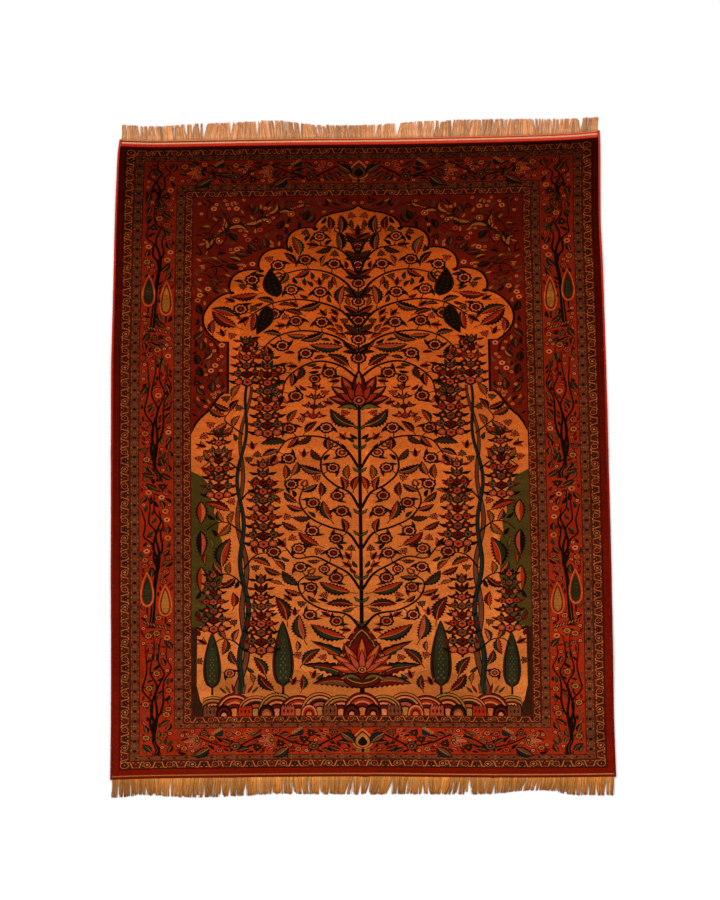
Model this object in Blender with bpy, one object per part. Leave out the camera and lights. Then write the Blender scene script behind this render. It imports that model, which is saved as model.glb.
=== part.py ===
"""Hand-knotted carpet with flat-woven ends, overcast side cords and knotted
fringes, lying flat on the floor.  Metres, +Z up, origin under the middle of
the whole outline, on the floor."""
import math
import random

import bpy
import bmesh

# ---------------------------------------------------------------- sizes (m)
LENGTH = 3.10             # end to end, without the fringes
WIDTH = 2.389             # cord to cord, half way up
PILE_THICK = 0.008        # knotted part, foundation and pile
WEAVE_THICK = 0.0035      # flat-woven end strips
WEAVE_TOP = 0.038         # length of the flat-woven strip at the far end
WEAVE_BOTTOM = 0.021      # and at the near end
STEP_RUN = 0.004          # slope from the pile down to the flat weave
CORD_WIDE = 0.012         # overcast cord along each side
CORD_HIGH = 0.009
GAP = 0.0003              # between neighbouring pieces
FRINGE_THICK = 0.004
FRINGE_ROOT = 0.010       # knotted band where the warps leave the weave
FRINGE_TEETH = 60         # bundles of warps in one comb
TOOTH_FILL = 0.80         # share of a bundle's pitch that is yarn
TOOTH_TAPER = 0.72        # tip width over root width
TOOTH_JITTER = 0.006      # unevenness of the bundles' lengths
TOOTH_LEAN = 0.007        # sideways wander of a bundle's tip
SEED = 41

# Where the two sides run, against the length.
SIDES = (
    # along   left_x   right_x
    (-1.550, -1.1770, 1.2050),
    (-1.300, -1.1780, 1.2000),
    (-1.100, -1.1810, 1.2000),
    (-0.700, -1.1890, 1.2010),
    (-0.340, -1.1960, 1.1995),
    (0.050, -1.2030, 1.1960),
    (0.440, -1.2080, 1.1930),
    (0.830, -1.2055, 1.1865),
    (1.080, -1.2045, 1.1805),
    (1.350, -1.2000, 1.1835),
    (1.480, -1.1960, 1.1850),
    (1.550, -1.1880, 1.1835),
)

# Where the two ends run, against the width.
ENDS = (
    # across  near_y   far_y
    (-1.190, -1.5620, 1.5390),
    (-1.020, -1.5560, 1.5340),
    (-0.700, -1.5515, 1.5390),
    (-0.300, -1.5470, 1.5450),
    (0.100, -1.5455, 1.5480),
    (0.480, -1.5495, 1.5550),
    (0.800, -1.5505, 1.5630),
    (1.040, -1.5490, 1.5730),
    (1.190, -1.5470, 1.5860),
)

# How far the fringes reach, against the width.
FRINGES = (
    # across  near_len  far_len
    (-1.190, 0.086, 0.079),
    (-1.020, 0.077, 0.074),
    (-0.800, 0.090, 0.083),
    (-0.560, 0.086, 0.090),
    (-0.400, 0.079, 0.093),
    (-0.200, 0.081, 0.070),
    (0.080, 0.083, 0.069),
    (0.320, 0.080, 0.083),
    (0.620, 0.076, 0.086),
    (0.760, 0.063, 0.084),
    (0.900, 0.061, 0.080),
    (1.000, 0.080, 0.075),
    (1.190, 0.086, 0.071),
)

# Old folding lines that still stand up a little, as soft ridges.
CREASES = (
    # runs_along, at, height, half_width, wander
    ("length", -0.600, 0.0030, 0.050, 0.007),
    ("length", 0.022, 0.0034, 0.055, 0.009),
    ("length", 0.632, 0.0028, 0.050, 0.006),
    ("width", 0.745, 0.0022, 0.055, 0.008),
    ("width", -0.020, 0.0042, 0.060, 0.007),
    ("width", -0.790, 0.0024, 0.055, 0.010),
)

# Places where a side edge stands a little off the floor.
EDGE_LIFTS = (
    # side, along, height, reach_along, reach_in
    ("left", 1.230, 0.0030, 0.220, 0.160),
    ("left", 0.420, 0.0040, 0.260, 0.180),
    ("left", -0.620, 0.0032, 0.240, 0.150),
    ("right", 0.930, 0.0038, 0.230, 0.170),
    ("right", 0.150, 0.0028, 0.200, 0.140),
    ("right", -0.980, 0.0042, 0.260, 0.180),
)

NODE_FINISH = {
    # node: colour, roughness
    "rug": ((0.42, 0.05, 0.02, 1.0), 0.95),
    "side_cord_left": ((0.46, 0.07, 0.03, 1.0), 0.90),
    "side_cord_right": ((0.46, 0.07, 0.03, 1.0), 0.90),
    "fringe_far": ((0.66, 0.44, 0.22, 1.0), 0.92),
    "fringe_near": ((0.48, 0.26, 0.09, 1.0), 0.92),
}


# ------------------------------------------------------------------- curves
def smooth_table(rows, column, at):
    """Value of a table's column at a position, by monotone cubic pieces."""
    xs = [r[0] for r in rows]
    ys = [r[column] for r in rows]
    if at <= xs[0]:
        return ys[0]
    if at >= xs[-1]:
        return ys[-1]
    i = max(k for k in range(len(xs) - 1) if xs[k] <= at)
    slope = []
    for k in (i, i + 1):
        lo, hi = max(k - 1, 0), min(k + 1, len(xs) - 1)
        slope.append((ys[hi] - ys[lo]) / (xs[hi] - xs[lo]))
    h = xs[i + 1] - xs[i]
    t = (at - xs[i]) / h
    return ((2 * t ** 3 - 3 * t ** 2 + 1) * ys[i] + (t ** 3 - 2 * t ** 2 + t) * h * slope[0]
            + (3 * t ** 2 - 2 * t ** 3) * ys[i + 1] + (t ** 3 - t ** 2) * h * slope[1])


def left_at(y):
    return smooth_table(SIDES, 1, y)


def right_at(y):
    return smooth_table(SIDES, 2, y)


def near_at(x):
    return smooth_table(ENDS, 1, x)


def far_at(x):
    return smooth_table(ENDS, 2, x)


def bell(d, half_width):
    """Soft bump, one at the middle and exactly nothing past its half width."""
    d = abs(d) / half_width
    return 0.5 + 0.5 * math.cos(math.pi * d) if d < 1.0 else 0.0


def crease_line(row, along):
    _, at, _, _, wander = row
    return at + wander * math.sin(2.3 * along + 5.0 * at) + 0.4 * wander * math.sin(6.1 * along + at)


def lift(x, y):
    """Height of the underside over the floor."""
    z = 0.0
    for row in CREASES:
        runs, at, height, half, _ = row
        along, across = (y, x) if runs == "length" else (x, y)
        swell = 0.72 + 0.28 * math.sin(2.9 * along + 9.0 * at)
        z = max(z, height * swell * bell(across - crease_line(row, along), half))
    for side, at, height, reach_along, reach_in in EDGE_LIFTS:
        edge = left_at(y) if side == "left" else right_at(y)
        z = max(z, height * bell(y - at, reach_along) * bell(x - edge, reach_in))
    return z


def cloth_point(s, t):
    """Point of the cloth's plan for s across (0 left, 1 right), t along."""
    inset = CORD_WIDE + GAP
    y0 = -0.5 * LENGTH + LENGTH * t
    x = left_at(y0) + inset + (right_at(y0) - left_at(y0) - 2 * inset) * s
    return x, near_at(x) + (far_at(x) - near_at(x)) * t


# ----------------------------------------------------------------- stations
def stations(length, marks, half, spare):
    """Sorted fractions of a length: five across each mark, and fillers."""
    vals = {0.0, 1.0}
    for m in marks:
        for k in (-1.0, -0.5, 0.0, 0.5, 1.0):
            vals.add(m + k * half / length)
    vals = sorted(vals)
    out = [vals[0]]
    for a, b in zip(vals, vals[1:]):
        n = max(1, math.ceil((b - a) * length / spare))
        out += [a + (b - a) * (i + 1) / n for i in range(n)]
    return out


# ------------------------------------------------------------------- pieces
def new_piece(name, bm):
    bmesh.ops.recalc_face_normals(bm, faces=bm.faces[:])
    mesh = bpy.data.meshes.new(name)
    bm.to_mesh(mesh)
    bm.free()
    obj = bpy.data.objects.new(name, mesh)
    bpy.context.scene.collection.objects.link(obj)
    colour, rough = NODE_FINISH[name]
    mat = bpy.data.materials.new(name + "_finish")
    mat.use_nodes = True
    bsdf = mat.node_tree.nodes["Principled BSDF"]
    bsdf.inputs["Base Color"].default_value = colour
    bsdf.inputs["Roughness"].default_value = rough
    bsdf.inputs["Metallic"].default_value = 0.0
    mesh.materials.append(mat)
    return obj


def cross_stations():
    marks = [(r[1] + 0.5 * WIDTH) / WIDTH for r in CREASES if r[0] == "length"]
    return stations(WIDTH, marks, 0.052, 0.17)


def step_stations():
    """Fractions of the length where the pile slopes down to the flat weave."""
    a, b = WEAVE_BOTTOM / LENGTH, 1.0 - WEAVE_TOP / LENGTH
    run = STEP_RUN / LENGTH
    return [a, a + run, b - run, b]


def along_stations():
    marks = [(r[1] + 0.5 * LENGTH) / LENGTH for r in CREASES if r[0] == "width"]
    steps = step_stations()
    kept = [t for t in stations(LENGTH, marks, 0.058, 0.17)
            if t in (0.0, 1.0) or all(abs(t - e) * LENGTH > 0.012 for e in steps)]
    return sorted(kept + steps)


def end_edge(end):
    """The cloth's end as it is built: straight between its stations."""
    t = 1.0 if end == "far" else 0.0
    pts = [cloth_point(s, t) for s in cross_stations()]

    def at(x):
        for (xa, ya), (xb, yb) in zip(pts, pts[1:]):
            if x <= xb:
                return ya + (yb - ya) * (x - xa) / (xb - xa)
        (xa, ya), (xb, yb) = pts[-2:]
        return ya + (yb - ya) * (x - xa) / (xb - xa)

    return at


def make_cloth():
    """The whole woven cloth: knotted middle and thinner flat-woven ends."""
    ss, ts = cross_stations(), along_stations()
    steps = step_stations()

    def thick(t):
        return PILE_THICK if steps[0] < t < steps[3] else WEAVE_THICK

    bm = bmesh.new()
    low, top = [], []
    for t in ts:
        low_row, top_row = [], []
        for s in ss:
            x, y = cloth_point(s, t)
            z = lift(x, y)
            low_row.append(bm.verts.new((x, y, z)))
            top_row.append(bm.verts.new((x, y, z + thick(t))))
        low.append(low_row)
        top.append(top_row)
    rows, cols = len(ts), len(ss)
    for j in range(rows - 1):
        for i in range(cols - 1):
            bm.faces.new((top[j][i], top[j][i + 1], top[j + 1][i + 1], top[j + 1][i]))
            bm.faces.new((low[j][i], low[j + 1][i], low[j + 1][i + 1], low[j][i + 1]))
    for j in range(rows - 1):
        bm.faces.new((low[j][0], top[j][0], top[j + 1][0], low[j + 1][0]))
        bm.faces.new((low[j][-1], low[j + 1][-1], top[j + 1][-1], top[j][-1]))
    for i in range(cols - 1):
        bm.faces.new((low[0][i], low[0][i + 1], top[0][i + 1], top[0][i]))
        bm.faces.new((low[-1][i], top[-1][i], top[-1][i + 1], low[-1][i + 1]))
    return new_piece("rug", bm)


def make_cord(name, side):
    """Overcast cord swept beside one edge of the cloth, flat underneath."""
    w, h = 0.5 * CORD_WIDE, CORD_HIGH
    section = (
        # out (share of half width), up (share of height)
        (-0.62, 0.0), (0.62, 0.0), (1.0, 0.28), (1.0, 0.66),
        (0.62, 1.0), (-0.62, 1.0), (-1.0, 0.66), (-1.0, 0.28),
    )
    bm = bmesh.new()
    rings = []
    for t in along_stations():
        s, out = (0.0, -1.0) if side == "left" else (1.0, 1.0)
        x, y = cloth_point(s, t)
        z = lift(x, y)
        x += out * (GAP + w)
        rings.append([bm.verts.new((x + o * w, y, z + u * h)) for o, u in section])
    m = len(section)
    for a, b in zip(rings, rings[1:]):
        for i in range(m):
            bm.faces.new((a[i], a[(i + 1) % m], b[(i + 1) % m], b[i]))
    bm.faces.new(rings[0][::-1])
    bm.faces.new(rings[-1])
    return new_piece(name, bm)


def make_fringe(name, end):
    """One comb: a knotted root band with bundles of warps of uneven length."""
    rng = random.Random(SEED + (1 if end == "far" else 2))
    sign = 1.0 if end == "far" else -1.0
    edge = end_edge(end)
    column = 2 if end == "far" else 1
    y_end = 0.5 * LENGTH * sign
    x0, x1 = left_at(y_end), right_at(y_end)
    pitch = (x1 - x0) / FRINGE_TEETH
    bm = bmesh.new()

    def vert(x, out):
        return bm.verts.new((x, edge(x) + sign * out, 0.0))

    faces = []
    last = None
    for k in range(FRINGE_TEETH):
        a = x0 + pitch * (k + 0.5 * (1.0 - TOOTH_FILL))
        b = a + pitch * TOOTH_FILL
        if k == 0:
            a = x0
        if k == FRINGE_TEETH - 1:
            b = x1
        in_a, out_a = vert(a, GAP), vert(a, GAP + FRINGE_ROOT)
        in_b, out_b = vert(b, GAP), vert(b, GAP + FRINGE_ROOT)
        if last:
            faces.append((last[0], in_a, out_a, last[1]))
        faces.append((in_a, in_b, out_b, out_a))
        mid = 0.5 * (a + b)
        reach = smooth_table(FRINGES, column, mid) + rng.uniform(-1.0, 1.0) * TOOTH_JITTER
        lean = rng.uniform(-1.0, 1.0) * TOOTH_LEAN
        if k == 0:
            lean = abs(lean)
        if k == FRINGE_TEETH - 1:
            lean = -abs(lean)
        half = 0.5 * (b - a) * TOOTH_TAPER
        tip_a, tip_b = vert(mid + lean - half, reach), vert(mid + lean + half, reach - 0.003)
        faces.append((out_a, out_b, tip_b, tip_a))
        last = (in_b, out_b)
    made = [bm.faces.new(f) for f in faces]
    grown = bmesh.ops.extrude_face_region(bm, geom=made)
    tops = [v for v in grown["geom"] if isinstance(v, bmesh.types.BMVert)]
    bmesh.ops.translate(bm, vec=(0.0, 0.0, FRINGE_THICK), verts=tops)
    return new_piece(name, bm)


def centre_all(pieces):
    """Put the middle of the whole outline over the origin."""
    xs = [v.co.x for p in pieces for v in p.data.vertices]
    ys = [v.co.y for p in pieces for v in p.data.vertices]
    dx, dy = 0.5 * (min(xs) + max(xs)), 0.5 * (min(ys) + max(ys))
    for p in pieces:
        for v in p.data.vertices:
            v.co.x -= dx
            v.co.y -= dy
    return dx, dy


def main():
    for obj in list(bpy.data.objects):
        bpy.data.objects.remove(obj, do_unlink=True)
    pieces = [
        make_cloth(),
        make_cord("side_cord_left", "left"),
        make_cord("side_cord_right", "right"),
        make_fringe("fringe_far", "far"),
        make_fringe("fringe_near", "near"),
    ]
    shift = centre_all(pieces)
    print("middle of the outline before centring:", shift)
    print("triangles:", {p.name: sum(len(f.vertices) - 2 for f in p.data.polygons) for p in pieces})


main()
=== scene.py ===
import math
import random
import time

import bmesh
import bpy
import numpy as np
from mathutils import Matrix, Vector
from mathutils.geometry import delaunay_2d_cdt


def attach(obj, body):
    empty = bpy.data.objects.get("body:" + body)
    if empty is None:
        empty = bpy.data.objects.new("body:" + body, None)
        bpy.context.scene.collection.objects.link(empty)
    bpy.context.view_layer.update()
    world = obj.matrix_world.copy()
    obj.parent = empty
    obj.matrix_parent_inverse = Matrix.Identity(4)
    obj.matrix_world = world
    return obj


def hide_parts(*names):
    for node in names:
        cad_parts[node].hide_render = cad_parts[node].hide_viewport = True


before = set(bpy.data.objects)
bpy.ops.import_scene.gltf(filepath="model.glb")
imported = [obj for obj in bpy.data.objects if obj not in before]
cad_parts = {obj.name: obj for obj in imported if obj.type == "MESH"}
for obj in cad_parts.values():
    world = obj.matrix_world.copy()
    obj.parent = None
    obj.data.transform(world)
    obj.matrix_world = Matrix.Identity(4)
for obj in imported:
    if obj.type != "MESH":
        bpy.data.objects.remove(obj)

START = time.time()
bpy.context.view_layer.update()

# ----------------------------------------------------------- the woven design
# All motifs are drawn in a plane whose x is in mm across the rug and whose y
# is in mm along it divided by SQUASH, because the knots are flatter than they
# are wide.  A shape is a polygon and a dye; later shapes lie on earlier ones.
SQUASH = 0.745
HALF_W = 1194.5          # cord to cord, half
HALF_L = 1550.0          # end to end of the weave, half

# Bands counted inwards, in mm.
EDGE_SIDE = 13.0         # side cord
BANDS_SIDE = (
    # name, from, to (mm from the rug's side edge)
    ("plain", 13.0, 43.0),
    ("guard_out", 44.5, 93.0),
    ("brown_out", 94.5, 137.0),
    ("main", 139.0, 302.0),
    ("brown_in", 304.0, 345.0),
    ("guard_in", 347.5, 385.0),
    ("field", 387.0, None),
)
BANDS_NEAR = (
    # name, from, to (mm from the near end of the weave)
    ("weave", 0.0, 21.0),
    ("plain", 21.0, 46.0),
    ("guard_out", 48.0, 84.5),
    ("brown_out", 86.0, 107.0),
    ("main", 109.0, 232.0),
    ("brown_in", 233.5, 255.0),
    ("guard_in", 256.5, 286.0),
    ("field", 287.5, None),
)
BANDS_FAR = (
    # name, from, to (mm from the far end of the weave)
    ("weave", 0.0, 38.0),
    ("plain", 38.0, 50.0),
    ("guard_out", 51.5, 84.0),
    ("brown_out", 85.5, 110.0),
    ("main", 112.0, 233.0),
    ("brown_in", 234.5, 262.0),
    ("guard_in", 263.5, 296.0),
    ("field", 298.0, None),
)

# Dyes as sRGB at the far end, a quarter of the way, and the near end. The darker far
# and upper columns are painted shade: the nap leans to the near end, so the far end looks deeper.
DYES_WITH_PAINTED_SHADE = {
    # name        far             upper            near
    "ink":      ((14, 5, 3),     (19, 8, 4),      (25, 12, 8)),
    "blueblack": ((13, 10, 7),   (19, 19, 14),    (26, 30, 26)),
    "green":    ((22, 16, 6),    (33, 27, 12),    (42, 40, 23)),
    "olive":    ((50, 32, 8),    (72, 54, 16),    (90, 74, 28)),
    "moss":     ((50, 36, 9),    (60, 43, 12),    (70, 53, 18)),
    "maroon":   ((42, 5, 2),     (66, 10, 5),     (88, 15, 7)),
    "madder":   ((54, 8, 3),    (92, 17, 5),     (110, 20, 6)),
    "red":      ((72, 10, 3),    (119, 26, 8),    (151, 38, 12)),
    "rose":     ((96, 24, 9),    (138, 44, 22),   (160, 60, 36)),
    "peach":    ((130, 50, 18),  (174, 80, 38),   (190, 104, 62)),
    "orange":   ((118, 44, 12),  (160, 68, 24),   (176, 86, 38)),
    "cream":    ((150, 76, 30),  (194, 126, 66),  (206, 146, 90)),
    "gold":     ((100, 30, 2),   (182, 75, 20),   (197, 108, 48)),
    "sand":     ((100, 30, 2),   (164, 68, 18),   (176, 94, 40)),
    "ochre":    ((98, 46, 12),   (136, 74, 22),   (156, 94, 38)),
    "brown":    ((44, 18, 7),    (82, 38, 19),    (101, 52, 27)),
    "umber":    ((27, 10, 4),    (41, 17, 7),     (50, 24, 12)),
    "guard":    ((34, 9, 4),     (60, 19, 9),     (68, 25, 13)),
    "plain":    ((42, 5, 1),     (68, 7, 1),      (112, 18, 4)),
}


class Design:
    def __init__(self):
        self.shapes = []

    def add(self, pts, dye):
        self.shapes.append((np.asarray(pts, float), dye))


class Frame:
    """Local axes for a motif: where it sits, how it turns, and its mirror."""

    def __init__(self, design, x=0.0, y=0.0, turn=0.0, size=1.0, flip=False, twin=False):
        self.design, self.x, self.y, self.turn = design, x, y, turn
        self.size, self.flip, self.twin = size, flip, twin

    def out(self, pts):
        p = np.asarray(pts, float) * self.size
        if self.flip:
            p = p * (1.0, -1.0)
        c, s = math.cos(self.turn), math.sin(self.turn)
        return np.stack([self.x + c * p[:, 0] - s * p[:, 1], self.y + s * p[:, 0] + c * p[:, 1]], 1)

    def add(self, pts, dye):
        p = self.out(pts)
        self.design.add(p, dye)
        if self.twin:
            self.design.add(p * (-1.0, 1.0), dye)

    def at(self, x, y, turn=0.0, size=1.0, flip=False):
        """A frame inside this one."""
        (px, py), = self.out([(x, y)])
        t = -turn if self.flip else turn
        return Frame(self.design, px, py, self.turn + t, self.size * size, self.flip != flip, self.twin)


# ------------------------------------------------------------- plain outlines
def disc(rx, ry=None, n=12, phase=0.0):
    ry = rx if ry is None else ry
    a = phase + np.arange(n) * 2 * math.pi / n
    return np.stack([rx * np.cos(a), ry * np.sin(a)], 1)


def petals(n, r, dip=0.22, per=3, phase=0.0):
    """Scalloped ring of n rounded petals."""
    k = np.arange(n * per)
    a = phase + k * 2 * math.pi / (n * per)
    w = np.abs(np.cos(0.5 * n * (a - phase)))
    rad = r * (1 - dip + dip * w ** 0.6)
    return np.stack([rad * np.cos(a), rad * np.sin(a)], 1)


def leaf_sides(length, wide, n=7, bend=0.0, teeth=0.0, blunt=0.8):
    """Mid line, upper and lower edge of a leaf along +x from the origin."""
    t = np.linspace(0, 1, n + 1)
    mid = np.stack([length * t, bend * length * np.sin(math.pi * t) * 0.5], 1)
    half = 0.5 * wide * np.sin(math.pi * t ** blunt) ** 0.85
    saw = np.ones(n + 1)
    if teeth:
        saw[1:-1] = 1 + teeth * np.where(np.arange(1, n) % 2, 1.0, -1.0)
    up = mid + np.stack([-0.10 * half * (saw > 1), half * saw], 1)
    low = mid - np.stack([0.10 * half * (saw > 1), half * saw], 1)
    return mid, up, low


def leaf(length, wide, n=7, bend=0.0, teeth=0.0, blunt=0.8):
    mid, up, low = leaf_sides(length, wide, n, bend, teeth, blunt)
    return np.concatenate([low, up[-2:0:-1]])


def smooth(points, n=6):
    """Catmull-Rom curve through the points, n steps between neighbours."""
    p = np.asarray(points, float)
    p = np.concatenate([[2 * p[0] - p[1]], p, [2 * p[-1] - p[-2]]])
    out = []
    for i in range(1, len(p) - 2):
        for k in range(n):
            t = k / n
            a, b, c, d = p[i - 1], p[i], p[i + 1], p[i + 2]
            out.append(0.5 * (2 * b + (c - a) * t + (2 * a - 5 * b + 4 * c - d) * t * t
                              + (3 * b - a - 3 * c + d) * t ** 3))
    out.append(p[-2])
    return np.array(out)


def stroke(line, w0, w1=None, swell=0.0):
    """Outline of a line with a width that goes from w0 to w1."""
    line = np.asarray(line, float)
    w1 = w0 if w1 is None else w1
    t = np.linspace(0, 1, len(line))
    w = 0.5 * (w0 + (w1 - w0) * t) * (1 + swell * np.sin(math.pi * t))
    g = np.gradient(line, axis=0)
    g /= np.maximum(np.hypot(g[:, 0], g[:, 1])[:, None], 1e-9)
    nrm = np.stack([-g[:, 1], g[:, 0]], 1)
    return np.concatenate([line - nrm * w[:, None], (line + nrm * w[:, None])[::-1]])


def along(line, f):
    """Point and heading at a fraction of a line's length."""
    seg = np.hypot(*np.diff(line, axis=0).T)
    s = np.concatenate([[0], np.cumsum(seg)])
    d = f * s[-1]
    i = int(min(max(np.searchsorted(s, d) - 1, 0), len(seg) - 1))
    k = (d - s[i]) / max(seg[i], 1e-9)
    p = line[i] + (line[i + 1] - line[i]) * k
    v = line[i + 1] - line[i]
    return p[0], p[1], math.atan2(v[1], v[0])


# ------------------------------------------------------------------- motifs
def rosette(f, r, fill="maroon", ring="orange", heart="ink", eye="maroon", n=9):
    f.add(petals(n, r, 0.30), "ink")
    f.add(petals(n, r * 0.74, 0.22, per=2), ring)
    f.add(petals(n, r * 0.52, 0.12, per=2), heart)
    f.add(disc(r * 0.34, n=8), fill)
    f.add(disc(r * 0.15, n=6), eye)


def leafy_rosette(f, r, *dyes):
    """Rosette with a pair of short leaves under it."""
    for sg in (1, -1):
        g = f.at(-r * 0.62, 0, 1.75 * sg)
        g.add(leaf(r * 1.55, r * 0.62, 6, -0.9 * sg, 0.1), "ink")
        g.add(leaf(r * 1.1, r * 0.26, 4, -0.9 * sg) + (r * 0.2, 0), "green" if sg > 0 else "maroon")
    rosette(f, r, *dyes)


def blossom(f, r, rim="cream", fill="red", eye="ink", n=5):
    f.add(petals(n, r, 0.34), rim)
    f.add(petals(n, r * 0.68, 0.34), fill)
    f.add(disc(r * 0.30, n=6), eye)


def small_flower(f, r, petal="peach", eye="ink", n=5):
    """Open flower of a few round petals with a dark outline and eye."""
    f.add(petals(n, r * 1.16, 0.30, per=2), "ink")
    f.add(petals(n, r * 0.92, 0.40, per=3), petal)
    f.add(disc(r * 0.36, n=6), eye)


def dark_flower(f, r, petal="blueblack", eye="orange", rim=None):
    if rim:
        f.add(petals(8, r * 1.16, 0.26), rim)
    f.add(petals(8, r, 0.30), petal)
    f.add(disc(r * 0.30, n=6), eye)
    f.add(disc(r * 0.13, n=5), "ink")


def saw_leaf(f, length, wide, bend=0.0, one="green", two="red", rib="orange", n=9, teeth=0.17):
    """Long two-coloured leaf with finely toothed edges and a pale rib."""
    n = 19 if length > 150 else 15 if length > 108 else 13 if length > 76 else 9
    bend, wide = bend * 0.75, wide * 1.28
    f.add(leaf(length, wide * 1.22, n, bend, teeth, 0.88), "ink")
    m = (n + 3) // 3
    mid, up, low = leaf_sides(length * 0.90, wide * 0.82, m, bend, 0.0, 0.88)
    off = length * 0.05
    f.add(np.concatenate([mid, up[-2:0:-1]]) + (off, 0), one)
    f.add(np.concatenate([mid, low[-2:0:-1]]) + (off, 0), two)
    if rib:
        f.add(stroke(mid[:-1] + (off * 0.6, 0), wide * 0.08, wide * 0.035), rib)


def small_leaf(f, length, wide, dye="green", rim=None, bend=0.0):
    if rim:
        f.add(leaf(length, wide, 5, bend), rim)
        f.add(leaf(length * 0.8, wide * 0.6, 4, bend) + (length * 0.08, 0), dye)
    else:
        f.add(leaf(length, wide, 5, bend), dye)


def bud(f, s, out="maroon", inside="peach"):
    """Closed flower on its calyx, growing along +x."""
    f.add(leaf(s * 1.5, s * 1.0, 6) - (s * 0.1, 0), "ink")
    f.add(leaf(s * 1.3, s * 0.72, 6), out)
    f.add(leaf(s * 0.9, s * 0.34, 4) + (s * 0.16, 0), inside)
    f.at(0, 0, 0.9).add(leaf(s * 0.8, s * 0.30, 4), "green")
    f.at(0, 0, -0.9).add(leaf(s * 0.8, s * 0.30, 4), "green")


def tulip(f, s, side="rose", heart="ink"):
    for sg in (1, -1):
        g = f.at(0, 0, sg * 0.62)
        g.add(leaf(s * 1.25, s * 0.46, 6, -0.3 * sg), "ink")
        g.add(leaf(s * 1.08, s * 0.30, 5, -0.3 * sg) + (s * 0.06, 0), side)
    f.add(leaf(s * 1.45, s * 0.50, 6), "maroon")
    f.add(leaf(s * 1.2, s * 0.30, 5) + (s * 0.12, 0), heart)


def palmette(f, w, h, outer="maroon", mid="rose", core="cream", heart="green"):
    """Open flower head seen from the side, growing along +x, base at the origin."""
    for k in (-3, 3, -2, 2, -1, 1, 0):
        g = f.at(h * 0.16, 0, k * 0.44)
        reach = h * (0.84 - 0.085 * abs(k))
        g.add(leaf(reach, w * 0.34, 7, 0.0, 0.0, 0.9), "ink")
        g.add(leaf(reach * 0.90, w * 0.26, 6, 0.0, 0.0, 0.9) + (reach * 0.04, 0), outer)
        g.add(leaf(reach * 0.55, w * 0.11, 4, 0.0, 0.0, 0.9) + (reach * 0.36, 0), core if k % 2 else "orange")
    for k in (-2, 2, -1, 1, 0):
        g = f.at(h * 0.14, 0, k * 0.46)
        reach = h * (0.56 - 0.05 * abs(k))
        g.add(leaf(reach, w * 0.24, 6), "ink")
        g.add(leaf(reach * 0.88, w * 0.17, 5) + (reach * 0.05, 0), mid)
    g = f.at(h * 0.22, 0)
    g.add(petals(8, w * 0.17, 0.15), "ink")
    g.add(petals(8, w * 0.135, 0.15), core)
    g.add(disc(w * 0.085, n=8), heart)
    g.add(disc(w * 0.04, n=6), "peach")
    for sg in (1, -1):
        g = f.at(0, 0, sg * 1.5)
        g.add(leaf(h * 0.42, w * 0.20, 7, -0.4 * sg, 0.15), "ink")
        g.add(leaf(h * 0.34, w * 0.11, 5, -0.4 * sg) + (h * 0.03, 0), "olive")


def floret(f, r, fill, eye="ink"):
    """Small outlined flower of the stacked spikes."""
    f.add(petals(6, r * 1.16, 0.22, per=2), "ink")
    f.add(petals(6, r * 0.86, 0.24, per=2), fill)
    f.add(disc(r * 0.34, n=5), eye)


def spike(f, h, w, flower="rose", leafa="ink", leafb="maroon", tiers=7):
    """Slender spray: stacked florets with pointed leaves round each."""
    f.add(stroke([(0, 0), (h * 0.5, 0), (h * 0.95, 0)], w * 0.08, w * 0.05), "ink")
    for k in range(tiers):
        t = k / (tiers - 1)
        x = h * (0.08 + 0.80 * t)
        reach = w * (0.40 - 0.20 * t) * (1.0 if k % 2 else 0.86)
        r = w * (0.160 - 0.040 * t)
        tall = w * (0.34 - 0.08 * t)
        for sg in (1, -1):
            g = f.at(x + r * 0.2, sg * reach * 0.80, sg * 0.75)
            g.at(-r * 0.5, 0, -0.55 * sg).add(leaf(tall * 1.05, tall * 0.46, 6, -0.1 * sg, 0.1), leafa)
            g.at(-r * 0.3, 0, 0.55 * sg).add(leaf(tall * 1.15, tall * 0.46, 6, 0.2 * sg, 0.1), leafb if k % 2 else "ink")
            f.at(x - r * 1.3, 0, 0.95 * sg).add(leaf(tall * 1.0, tall * 0.36, 5, -0.2 * sg), "ink" if k % 2 else leafb)
            if t < 0.86:
                floret(g, r * 0.94, (flower, "brown", "maroon", "red")[k % 4], "ink" if k % 2 else "orange")
        floret(f.at(x, 0), r * 1.1, (flower, "maroon", "brown")[k % 3], "ink" if k % 3 == 1 else "maroon")
    bud(f.at(h * 0.90, 0), w * 0.14, "maroon", flower)


def onion(w, h, scallops=0, deep=0.0, n=36):
    """Full outline that swells low down and runs to a point, along +x."""
    t = np.linspace(0, 1, n + 1)
    half = 0.5 * w * np.sin(math.pi * t ** 0.72) ** 0.70 * (1 - 0.28 * t)
    if scallops:
        half = half * (1 - deep + deep * np.abs(np.sin(scallops * math.pi * t)) ** 0.6)
    x = h * t
    return np.concatenate([np.stack([x, -half], 1), np.stack([x, half], 1)[-2:0:-1]])


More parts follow.
